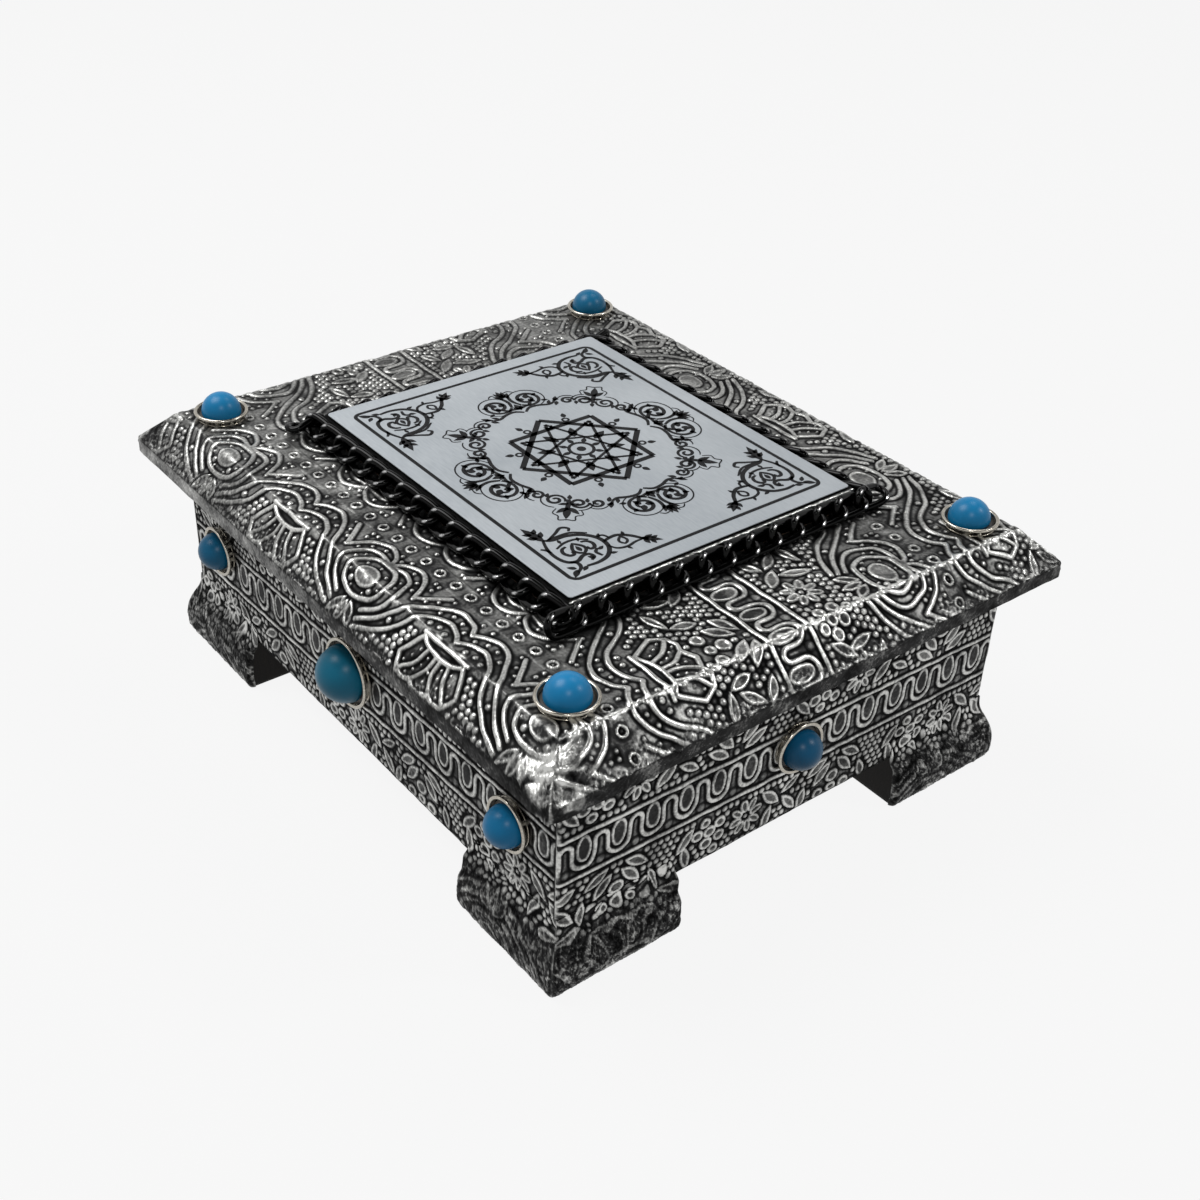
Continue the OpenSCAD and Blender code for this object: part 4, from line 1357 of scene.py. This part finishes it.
def ribbon(path, width, taper=0.0, closed=False):
    """A flat stroke along a path. taper is how much of its width it loses towards both ends."""
    path = np.array(path, float)
    if closed:
        slope = np.roll(path, -1, 0) - np.roll(path, 1, 0)
    else:
        slope = np.gradient(path, axis=0)
    slope /= np.linalg.norm(slope, axis=1)[:, None] + 1e-9
    aside = np.column_stack([-slope[:, 1], slope[:, 0]])
    share = np.linspace(0, 1, len(path))
    wide = (width + SPREAD) / 2 * (1 - taper * np.abs(2 * share - 1) ** 2)
    left, right = path + aside * wide[:, None], path - aside * wide[:, None]
    n = len(path)
    rings = [(right, INK_LOW), (right, INK_HIGH), (left, INK_HIGH), (left, INK_LOW)]
    points = np.vstack([np.column_stack([p, np.full(n, z)]) for p, z in rings])
    faces = []
    for k in range(n if closed else n - 1):
        m = (k + 1) % n
        for a in range(4):
            b = (a + 1) % 4
            faces.append([a * n + k, a * n + m, b * n + m, b * n + k])
    if not closed:
        faces.append([3 * n, 2 * n, n, 0])
        faces.append([n - 1, 2 * n - 1, 3 * n - 1, 4 * n - 1])
    return points, faces


def blot(outline):
    """A filled outline of ink, anticlockwise."""
    outline = np.array(outline, float)
    x, y = outline.T
    if np.sum(x * np.roll(y, -1) - y * np.roll(x, -1)) < 0:
        outline = outline[::-1]
    return stacked([np.column_stack([outline, np.full(len(outline), z)]) for z in (INK_LOW, INK_HIGH)])


def leaf(root, length, width, turn, steps=9):
    """A pointed leaf from its root, in a direction."""
    a = np.linspace(0, 1, steps)
    bow = width / 2 * np.sin(math.pi * a ** 0.8)
    upper = np.column_stack([a * length, bow])
    lower = np.column_stack([a * length, -bow])
    outline = np.vstack([upper, lower[-2:0:-1]])
    c, s = math.cos(turn), math.sin(turn)
    return outline @ np.array([[c, s], [-s, c]]) + root


def spiral(middle, radius, start, turns, inner=0.25, steps=30):
    """A scroll that winds in from its outer end; negative turns wind the other way."""
    share = np.linspace(0, 1, steps)
    angle = start + 2 * math.pi * turns * share
    size = radius * (1 - (1 - inner) * share)
    return np.column_stack([np.cos(angle) * size, np.sin(angle) * size]) + middle


def ring(middle, half_x, half_y, steps=20):
    angle = np.linspace(0, 2 * math.pi, steps, endpoint=False)
    return np.column_stack([np.cos(angle) * half_x, np.sin(angle) * half_y]) + middle


print("ink", round(INK_HIGH - plate_high[2], 3), "mm proud")

# %% [markdown]
# The drawing is planned on one corner and one lobe of the wreath, and the rest are mirror images, as a
# printer's draughtsman would do it. Strokes keep their order of points when they are mirrored, so only
# the outline has to be turned round again, which the blot function sees to.

# %% Border and corner arabesques
BORDER = 5.2       # mm from the plate's edge in to the line
border_half = plate_half - BORDER
outline = rounded_rectangle(*border_half, 2.2)
add_piece("ink_border", ribbon(outline, 0.95, closed=True), ink, "lid", crisp=30)

CORNER_STROKES = [         # points in mm from the inner corner of the border; width
    ([(4.4, 18.6), (6.6, 17.4), (10.4, 17.2), (14.2, 15.4), (16.6, 11.8), (16.4, 7.6), (13.8, 4.4),
      (10.2, 3.2), (6.6, 3.4)], 1.15),
    ([(4.4, 18.4), (3.0, 14.6), (2.6, 10.6), (3.6, 7.4), (6.0, 6.4), (8.4, 7.6), (10.2, 7.4),
      (10.6, 5.8), (9.2, 4.9)], 1.0),
    ([(5.6, 18.0), (9.0, 19.6), (11.6, 21.0), (13.2, 19.8), (12.4, 18.6)], 0.8),
    ([(5.4, 18.2), (8.6, 18.2), (12.4, 17.8), (15.8, 15.4)], 0.7),
    ([(1.6, 15.6), (2.6, 14.4), (3.0, 12.8)], 0.7),
    ([(3.0, 2.2), (5.0, 3.8), (5.4, 5.8), (4.0, 7.0)], 0.9),
    ([(12.6, 5.0), (12.2, 7.2), (13.6, 8.4)], 0.8),
    ([(16.6, 9.8), (18.6, 10.4), (21.2, 10.4), (23.8, 8.4), (25.6, 5.6), (26.6, 4.4)], 1.0),
    ([(16.4, 7.8), (17.6, 5.6), (20.2, 4.8), (23.2, 5.4), (25.6, 5.4)], 0.7),
    ([(19.0, 10.4), (18.4, 12.2), (17.2, 12.8)], 0.6),
    ([(5.0, 13.6), (8.2, 14.8), (11.6, 14.6), (14.2, 12.8)], 0.7),
    ([(7.4, 13.2), (5.9, 12.6), (5.2, 11.0), (5.9, 9.4), (7.2, 9.3), (7.4, 10.6)], 0.9),
    ([(11.8, 13.0), (13.3, 12.4), (14.0, 10.8), (13.3, 9.2), (12.0, 9.1), (11.8, 10.4)], 0.9),
]
CORNER_BUDS = [            # outlined leaves: root, length, width, turn; width of the line
    ((9.6, 8.4), 5.0, 3.4, 1.57, 0.8), ((20.6, 6.2), 3.4, 2.2, 1.3, 0.6),
]
CORNER_LEAVES = [          # filled leaves: root, length, width, turn
    ((4.6, 18.0), 8.4, 2.5, 1.75), ((4.2, 20.0), 3.0, 1.6, 2.6), ((4.7, 20.0), 3.0, 1.6, 0.9),
    ((3.9, 22.2), 2.6, 1.4, 2.6), ((4.3, 22.2), 2.6, 1.4, 0.9), ((25.0, 6.2), 6.0, 2.0, -0.72),
    ((26.0, 5.4), 2.8, 1.4, 0.1), ((25.6, 5.2), 2.6, 1.3, -1.5), ((27.4, 4.4), 2.2, 1.2, 0.1),
    ((27.0, 4.0), 2.2, 1.2, -1.5), ((3.6, 3.4), 3.6, 1.7, -2.35), ((3.8, 3.8), 2.6, 1.3, 2.4),
    ((6.6, 3.4), 2.4, 1.3, -2.6), ((14.6, 4.8), 2.2, 1.1, -0.3), ((16.6, 12.0), 2.2, 1.1, 0.9),
    ((12.4, 15.2), 2.0, 1.0, -2.0), ((7.6, 16.8), 2.0, 1.0, -1.7), ((10.4, 5.2), 2.0, 1.2, 2.2),
    ((13.4, 7.6), 2.2, 1.2, 0.4), ((22.6, 9.4), 2.0, 1.0, 1.2), ((20.0, 4.8), 1.8, 0.9, -1.2),
    ((9.6, 9.4), 2.8, 1.3, 1.57),
]


def corner_print(x_sign, y_sign):
    """One corner's strokes, mirrored into place."""
    def put(points):
        return (border_half - np.array(points)) * (x_sign, y_sign)

    parts = [ribbon(put(curve(points, 8)), width, 0.35) for points, width in CORNER_STROKES]
    parts += [ribbon(put(leaf(*bud)), width, closed=True) for *bud, width in CORNER_BUDS]
    parts += [blot(put(leaf(*shape))) for shape in CORNER_LEAVES]
    return join(parts)


signs = [(1, 1), (-1, 1), (-1, -1), (1, -1)]
corner_shape = join([corner_print(*pair) for pair in signs])
add_piece("ink_corner_arabesques", corner_shape, ink, "lid", crisp=30)
print("corner print,", len(corner_shape[1]), "faces")

# %% [markdown]
# The wreath is an oval of four lobes joined by slanting branches. A lobe is two leafy scrolls on either
# side of a palmette. A branch is a row of small scrolls with a lily at its bend that points to the
# plate's corner. A hairline runs round the whole wreath. Again only one of each is drawn: the lobe is
# turned to the four sides and the branch mirrored into the four quarters.

# %% Wreath
WREATH = (30.4, 32.5)      # mm from the middle to the lobes, across and along
HAIR = 0.28                # mm, width of the hairline


def arc(middle, radius, first, last, steps=24):
    angle = np.radians(np.linspace(first, last, steps))
    return np.column_stack([np.cos(angle), np.sin(angle)]) * radius + middle


def lobe_strokes(wide):
    """Strokes and leaves of a lobe that points up, from its middle; wide stretches it sideways."""
    strokes = []
    leaves = []
    for side in (1, -1):
        def put(points):
            return np.array(points) * (side * wide, 1.0)

        strokes += [
            (put(spiral((5.2, 0.0), 4.2, -2.5, 1.5, 0.3, 44)), 1.0),
            (put(arc((5.2, 0.0), 5.3, -75, 150)), HAIR),
            (put(curve([(1.6, -2.4), (0.7, 0.4), (1.0, 3.0), (2.0, 4.6)], 8)), 0.9),
            (put(curve([(0.3, -6.6), (2.6, -5.0), (5.6, -5.2), (8.6, -6.4), (10.6, -6.0)], 8)), 0.9),
            (put(curve([(0.4, -4.2), (2.4, -3.6), (4.0, -4.2)], 8)), 0.8),
            (put(curve([(1.4, 6.4), (3.0, 6.6), (4.2, 5.6)], 8)), HAIR),
        ]
        leaves += [put(leaf((5.0, 0.2), 3.0, 1.9, 0.9)), put(leaf((5.4, -0.4), 2.8, 1.8, -1.2)),
                   put(leaf((4.4, -0.2), 2.6, 1.7, 2.6)), put(leaf((7.6, 0.8), 2.0, 1.4, 0.4)),
                   put(leaf((0.5, 3.2), 3.4, 1.5, 0.95)), put(leaf((0.2, 3.6), 4.0, 1.5, 1.28)),
                   put(leaf((1.4, -2.6), 2.6, 1.3, -2.2)), put(leaf((3.4, -3.4), 2.2, 1.1, 0.5)),
                   put(leaf((8.2, -3.0), 2.2, 1.2, -0.4)), put(leaf((8.6, -6.2), 2.6, 1.2, 0.9))]
    leaves += [leaf((0.0, 3.6), 4.6, 1.7, math.pi / 2), leaf((0.0, -5.0), 4.0, 1.9, math.pi / 2)]
    return strokes, leaves


def branch_strokes():
    """Strokes and leaves of the branch in the first quarter, between the right and the upper lobe."""
    scrolls = [((14.2, 25.2), 2.0, -0.6, 1.35), ((18.1, 22.6), 2.6, 2.6, -1.45),
               ((22.2, 17.8), 2.7, 2.2, 1.45), ((24.5, 13.2), 2.0, -1.2, -1.35)]
    strokes = [(spiral(*scroll, 0.2, 40), 0.8) for scroll in scrolls]
    strokes += [(arc(middle, radius + 1.0, first, first + 110), HAIR)
                for (middle, radius, *_), first in zip(scrolls, (10, 50, -60, -70))]
    strokes += [
        (curve([(19.2, 19.6), (20.4, 21.2), (21.8, 22.6), (22.8, 23.6)], 6), 1.2),
        (curve([(10.4, 26.6), (11.6, 27.6), (12.6, 27.2)], 6), 0.8),
        (curve([(25.4, 11.6), (26.6, 11.2), (26.9, 9.8)], 6), 0.8),
        (curve([(19.8, 25.6), (20.8, 27.8), (22.8, 27.4), (24.2, 28.8), (25.6, 27.4), (27.4, 26.2),
                (26.4, 24.6), (26.6, 22.6), (24.6, 21.4)], 6), HAIR),
    ]
    leaves = [leaf(*shape) for shape in [
        ((22.0, 22.8), 5.6, 2.1, 0.85), ((21.8, 22.8), 4.2, 1.7, 0.08), ((21.6, 23.0), 4.2, 1.7, 1.6),
        ((20.4, 21.4), 3.0, 1.3, -0.5), ((20.2, 21.6), 3.0, 1.3, 2.2), ((11.0, 26.8), 3.0, 1.5, 0.9),
        ((11.4, 26.4), 2.6, 1.3, -2.3), ((26.0, 11.4), 3.0, 1.5, 0.6), ((25.8, 11.0), 2.6, 1.3, -2.5),
        ((16.2, 23.6), 2.2, 1.2, -2.2), ((23.4, 15.4), 2.2, 1.2, -2.5), ((19.0, 19.8), 2.4, 1.3, -2.2)]]
    return strokes, leaves


LOBES = [((0, WREATH[1]), 0, 0.98), ((WREATH[0], 0), -1, 1.14),   # middle, quarter turns, stretch
         ((0, -WREATH[1]), 2, 0.98), ((-WREATH[0], 0), 1, 1.14)]
parts = []
for middle, quarters, wide in LOBES:
    c, s = math.cos(quarters * math.pi / 2), math.sin(quarters * math.pi / 2)
    spin = np.array([[c, s], [-s, c]])
    strokes, leaves = lobe_strokes(wide)
    parts += [ribbon(path @ spin + middle, width, 0.3) for path, width in strokes]
    parts += [blot(outline @ spin + middle) for outline in leaves]
strokes, leaves = branch_strokes()
for pair in signs:
    parts += [ribbon(path * pair, width, 0.3) for path, width in strokes]
    parts += [blot(outline * pair) for outline in leaves]
wreath_shape = join(parts)
add_piece("ink_wreath", wreath_shape, ink, "lid", crisp=30)
print("wreath,", len(wreath_shape[1]), "faces")

# %% [markdown]
# The rosette in the middle is drawn with ruler and compass: two squares turned against each other make
# the eight points, every third corner is joined to weave the inner star, and petals fill the gaps. All
# of it repeats eight times, so one loop turns a single wedge round.

# %% Star rosette
ROSETTE = 19.6     # mm, radius of the star's points


def spoke(turn, radius):
    return np.array([math.cos(turn), math.sin(turn)]) * radius


parts = [ribbon(ring((0, 0), 3.4, 3.4, 40), 0.8, closed=True)]
for k in range(8):
    turn = k * math.pi / 4
    parts.append(ribbon(np.linspace(spoke(turn, ROSETTE), spoke(turn + math.pi / 2, ROSETTE), 12), 1.45))
    parts.append(ribbon(np.linspace(spoke(turn, 16.6), spoke(turn + 0.75 * math.pi, 16.6), 16), 0.75))
    parts.append(ribbon(ring(spoke(turn + math.pi / 8, 17.2), 0.9, 0.9, 16), 0.5, closed=True))
    parts.append(blot(leaf(spoke(turn + math.pi / 8, 7.0), 5.4, 2.6, turn + math.pi / 8)))
    parts.append(blot(leaf(spoke(turn, 3.6), 2.9, 1.5, turn)))
    parts.append(blot(leaf(spoke(turn + math.pi / 8, 18.6), 2.6, 1.6, turn + math.pi / 8)))
    for lean in (-0.5, 0.5):
        parts.append(blot(leaf(spoke(turn, 13.2), 2.8, 1.2, turn + lean)))
parts.append(blot(ring((0, 0), 1.3, 1.3, 20)))
add_piece("ink_star_rosette", join(parts), ink, "lid", crisp=30)
print("rosette of", 2 * ROSETTE, "mm")

# %% [markdown]
# The chain is a curb chain: round wire links, each twisted a quarter turn from end to end, so that they
# nest and lie flat. It leans against the raised board, half on the lid and half on the board's side. A
# curve with a round bevel would give the wire, but a mesh can say at each point how far the lacquer is
# rubbed. One link is a long loop of wire that is twisted about its own length, and it is set again and
# again along each side at nearly the pitch of the CAD chain.

# %% Curb chain
LINKS = {"front": 14, "back": 14, "left": 15, "right": 15}
WIRE = 2.0         # mm thick
LINK_WIDTH = 7.0   # mm over the wire
TWIST = math.radians(40)
PLAY = 0.25        # mm that a link is longer than its neighbours need
BESIDE = 0.15      # mm between the chain and the raised board
ABOVE = 0.1        # mm between the chain and the lid
LEAN = by_side(46, 46, 40, 46)             # degrees from lying flat on the lid
BEDDED = by_side(0.0, 0.0, 0.5, 0.0)       # mm sunk in glue
LINK_SEED = by_side(46, 45, 45, 46)


def twisted_link(pitch, steps=60, sides=20):
    """Points and faces of one link round its own middle: x along the chain, y across, z off its flat."""
    length = pitch + 2 * WIRE + PLAY
    bend = LINK_WIDTH / 2 - WIRE / 2
    straight = length / 2 - WIRE / 2 - bend
    share = np.linspace(0, 1, steps, endpoint=False)
    half_loop = math.pi * bend + 2 * straight
    path = []
    for d in share * 2 * half_loop:
        flip = 1 if d < half_loop else -1
        d = d % half_loop
        if d < 2 * straight:
            path.append((flip * (d - straight), -flip * bend))
        else:
            a = (d - 2 * straight) / bend - math.pi / 2
            path.append((flip * (straight + bend * math.cos(a)), flip * bend * math.sin(a)))
    path = np.array(path)
    angle = TWIST * path[:, 0] / (length / 2)
    line = np.column_stack([path[:, 0], path[:, 1] * np.cos(angle), path[:, 1] * np.sin(angle)])
    slope = np.roll(line, -1, 0) - np.roll(line, 1, 0)
    slope /= np.linalg.norm(slope, axis=1)[:, None]
    up = np.column_stack([np.zeros(steps), -np.sin(angle), np.cos(angle)])
    aside = np.cross(slope, up)
    aside /= np.linalg.norm(aside, axis=1)[:, None]
    up = np.cross(aside, slope)
    rings = []
    for k in range(sides):
        a = 2 * math.pi * k / sides
        rings.append(line + WIRE / 2 * (math.cos(a) * aside + math.sin(a) * up))
    points = np.stack(rings, 1).reshape(-1, 3)
    index = np.arange(steps * sides).reshape(steps, sides)
    on, round_ = np.roll(index, -1, 0), np.roll(index, -1, 1)
    faces = np.stack([index, round_, np.roll(on, -1, 1), on], -1).reshape(-1, 4)
    return points, faces.tolist()


def chain_run(side):
    low, high = corners(f"chain_{side}")
    axis = axis_of(side)
    bow = (LINK_WIDTH - WIRE) / 2
    lean = math.radians(LEAN[side])
    reach = riser_half[axis] + BESIDE + WIRE / 2 + bow * math.cos(lean)
    up = lid_top + ABOVE - BEDDED[side] + WIRE / 2 + bow * math.sin(lean)
    run = (high - low)[1 - axis]
    if axis == 1:
        run = 2 * (riser_half[0] + WIRE + 2 * bow * math.cos(lean))
    rng = np.random.default_rng(LINK_SEED[side])
    pitch = (run - 2 * WIRE - PLAY) / (LINKS[side] - 1)
    points, faces = twisted_link(pitch)
    crest = points[:, 2].max()
    worn = 0.75 * smooth(points[:, 2], 0.94 * crest, crest)
    parts = []
    for k in range(LINKS[side]):
        roll = lean + rng.normal(0, math.radians(3))
        x = points[:, 0] + (k - (LINKS[side] - 1) / 2) * pitch + rng.normal(0, 0.06)
        off = points[:, 1] * math.cos(roll) + points[:, 2] * math.sin(roll)
        rise = -points[:, 1] * math.sin(roll) + points[:, 2] * math.cos(roll)
        parts.append((place(side, x, reach + off, up + rise), faces))
    return join(parts), np.tile(worn, LINKS[side])


for side in LINKS:
    shape, rub = chain_run(side)
    add_piece(f"chain_{side}_run", shape, gunmetal, "lid", [f"chain_{side}"], rub)
    print("chain,", side, LINKS[side], "links")

# %% [markdown]
# The cups were spun from thin nickel silver: a flat floor, a flared wall and a rolled lip. The stones
# were cast in a mould and polished, with a short foot under the dome. Both are turned shapes. A screw
# modifier would turn them perfectly round, so here a profile is spun round its axis with a slight wobble.

# %% Profiles of cups, glue and stones
CUP_RIM = 2.0      # mm that a cup's lip stands out past its stone
STONE_FOOT = 0.62  # mm from the cup's underside to the stone's
GIRDLE = 1.6       # mm up to where the dome begins


def spun(profile, count=56, wobble=0.0, seed=0):
    """A profile of (radius, height) points spun round z; the first and last lie on the axis."""
    profile = np.array(profile, float)
    rng = np.random.default_rng(seed)
    angle = np.linspace(0, 2 * math.pi, count, endpoint=False)
    waves = np.sin(2 * angle + rng.uniform(0, 6)) + 0.6 * np.sin(3 * angle + rng.uniform(0, 6))
    uneven = 1 + wobble * waves
    rings = []
    for radius, z in profile[1:-1]:
        x, y = np.cos(angle) * radius * uneven, np.sin(angle) * radius * uneven
        rings.append(np.column_stack([x, y, np.full(count, z)]))
    points = np.vstack(rings + [[(0, 0, profile[0, 1])], [(0, 0, profile[-1, 1])]])
    faces = ring_faces(len(rings), count)
    first, last = len(points) - 2, len(points) - 1
    top = (len(rings) - 1) * count
    for i in range(count):
        j = (i + 1) % count
        faces.append([first, j, i])
        faces.append([last, top + i, top + j])
    return points, faces


def cup_profile(diameter):
    """Up the outside of the cup, over its lip and down to the floor inside."""
    rim = diameter / 2 + CUP_RIM
    return curve([(0, 0), (rim - 1.5, 0), (rim - 1.05, 0.12), (rim - 0.75, 0.8), (rim - 0.4, 1.35),
                  (rim - 0.05, 1.6), (rim, 1.95), (rim - 0.2, 2.25), (rim - 0.6, 2.33), (rim - 0.95, 2.1),
                  (rim - 1.1, 1.6), (rim - 1.4, 0.75), (rim - 2.0, 0.6), (0, 0.6)], 4)


def glue_profile(diameter):
    """A shallow pool of glue round the foot of the stone; it is near black and also paints the shade
    inside the cup.
    """
    rim = diameter / 2 + CUP_RIM
    return [(0, 0.58), (rim - 1.9, 0.58), (rim - 1.5, 0.66), (rim - 1.36, 1.0), (rim - 1.6, 1.12),
            (rim - 2.1, 1.3), (rim - 2.6, 1.3), (0, 1.3)]


def stone_profile(diameter):
    """A short upright foot, then a dome."""
    radius = diameter / 2
    angles = np.linspace(0, math.pi / 2, 22)[:-1]
    dome = [(radius * math.cos(a), GIRDLE + radius * math.sin(a)) for a in angles]
    foot = [(0, STONE_FOOT), (radius - 0.35, STONE_FOOT), (radius - 0.08, 0.8)]
    return [*foot, *dome, (0, GIRDLE + radius)]


print("a 10 mm stone sits in a cup of", 10 + 2 * CUP_RIM, "mm")

# %% [markdown]
# The stones were dropped into their cups with glue, so none sits quite straight or quite in the middle.
# They could all be copies of one, but the eye finds copies quickly, so each is turned anew with a seed of
# its own. Middle stones are of a greener dye lot, and the front one is a darker copy of the blue resin as
# painted shade.

# %% Cups and stones in place
CUP_SUNK = 0.1     # mm that a cup is pressed into the foil
SEAT = 0.85        # mm from the cup's underside up to the stone as it came to rest


def stand(points, side, along, out, up):
    """Points turned from z upwards to face out from a side, or left facing up on the lid."""
    if side == "lid":
        return points + (along, out, up)
    return place(side, along + points[:, 0], out + points[:, 2], up + points[:, 1])


def knocked(points, seed):
    """A stone as it was dropped in: a little tilted, turned and off the middle."""
    rng = np.random.default_rng(seed)
    angle = math.radians(rng.uniform(2, 7))
    tilt = Matrix.Rotation(angle, 3, Vector((*rng.normal(0, 1, 2), 0)).normalized())
    return (points - (0, 0, STONE_FOOT)) @ np.array(tilt).T + (*rng.uniform(-0.3, 0.3, 2), SEAT)


STONES = {                 # side, and for each stone its CAD node
    "lid_bezels": ("lid", ["lid_stone_front_left", "lid_stone_front_right", "lid_stone_back_left",
                           "lid_stone_back_right"]),
    "left_bezels": ("left", ["left_stone_front", "left_stone_middle", "left_stone_back"]),
    "right_bezels": ("right", ["right_stone_front", "right_stone_middle", "right_stone_back"]),
    "front_bezel": ("front", ["front_stone"]),
}
seed = 60
for cups, (side, stones) in STONES.items():
    body = "lid" if side == "lid" else "case"
    rims = []
    pools = []
    for node in stones:
        low, high = corners(node)
        middle = (low + high) / 2
        seed += 1
        # middle stones take the greener dye lot; the front stone takes the darker copy as painted shade
        resin_by_place = teal_resin if "middle" in node else resin_painted_darker if side == "front" else resin
        if side == "lid":
            diameter = high[0] - low[0]
            spot = (side, middle[0], middle[1], lid_top - CUP_SUNK)
        else:
            (ax, ay), _ = AROUND[side]
            diameter = high[2] - low[2]
            wall = (wall_x, wall_y)[axis_of(side)]
            spot = (side, ax * middle[0] + ay * middle[1], wall - CUP_SUNK, middle[2])
        points, faces = spun(cup_profile(diameter), 64, 0.012, seed)
        rims.append((stand(points, *spot), faces))
        points, faces = spun(glue_profile(diameter), 48, 0.02, seed)
        pools.append((stand(points, *spot), faces))
        points, faces = spun(stone_profile(diameter), 56, 0.006, seed)
        dome = stand(knocked(points, seed), *spot), faces
        add_piece(f"{node}_dome", dome, resin_by_place, body, [node])
    add_piece(f"{cups}_spun", join(rims), nickel, body, [cups])
    add_piece(f"{cups}_glue", join(pools), glue_and_painted_shade, body)
    print(cups, len(stones), "stones")

# %% [markdown]
# Inside, the box is lined with velvet: a thin pad on the floor, one under the lid, and card panels
# wrapped in velvet on the four walls. A pad is a sheet of wadding under cloth, so its face swells a
# little and its edges are round. A cloth simulation would hardly move anything so thin, so the swell is
# shaped directly.

# %% Velvet lining
ROUND_EDGE = 1.4   # mm, radius of a panel's edges, less where it is thinner


def upholstered(low, high, axis, sign, edge, swell):
    """A panel whose face looks along an axis: round edges and a slightly swollen middle."""
    others = [k for k in range(3) if k != axis]
    if (axis == 1) == (sign > 0):
        others = others[::-1]
    spans = [high[k] - low[k] for k in others]
    grids = [np.concatenate([np.linspace(0, edge, 7)[:-1], np.linspace(edge, s - edge, 40),
                             np.linspace(s - edge, s, 7)[1:]]) for s in spans]
    a, b = np.meshgrid(grids[0], grids[1])
    rim = np.minimum(np.minimum(a, spans[0] - a), np.minimum(b, spans[1] - b))
    thick = high[axis] - low[axis]
    drop = edge - np.sqrt(np.maximum(edge**2 - np.clip(edge - rim, 0, edge) ** 2, 0))
    rise = thick - drop + swell * smooth(rim, 0, 12) * (1 + 0.3 * ripple(a, b, 30, 71))
    rise = np.maximum(rise, 0.05)
    face = np.zeros(a.shape + (3,))
    face[..., others[0]] = low[others[0]] + a
    face[..., others[1]] = low[others[1]] + b
    back = face.copy()
    base = low[axis] if sign > 0 else high[axis]
    face[..., axis] = base + sign * rise
    back[..., axis] = base
    return closed_sheet(face.swapaxes(0, 1), coarse(back.swapaxes(0, 1), 2, 2))


LINING = {                 # node: body, axis its face looks along, which way, swell in mm
    "floor_pad": ("case", 2, 1, 0.5),
    "lid_pad": ("lid", 2, -1, 0.4),
    "front_card": ("case", 1, 1, 0.1),
    "back_card": ("case", 1, -1, 0.1),
    "left_card": ("case", 0, 1, 0.1),
    "right_card": ("case", 0, -1, 0.1),
}
for node, (body, axis, sign, swell) in LINING.items():
    low, high = corners(node)
    edge = min(ROUND_EDGE, 0.9 * (high - low)[axis])
    shape = upholstered(low, high, axis, sign, edge, swell)
    panel = add_piece(f"{node}_velvet", shape, velvet, body, [node])
    print(node, "lined")

# %% [markdown]
# What stays of the CAD model is the hidden carpentry and the hardware: boards, hinges, pins and screws.
# They could be made again here, but they are right as they are and only get their finish.

# %% Finishes of the CAD pieces that stay
FINISHES = {"board": fibreboard, "hinge": brass}
dressed = 0
for part in frame["record"]["subparts"]:
    if part["material_slot"] in FINISHES:
        mesh = nodes[part["node"]].data
        mesh.materials.clear()
        mesh.materials.append(FINISHES[part["material_slot"]])
        dressed += 1
print(dressed, "CAD pieces dressed")
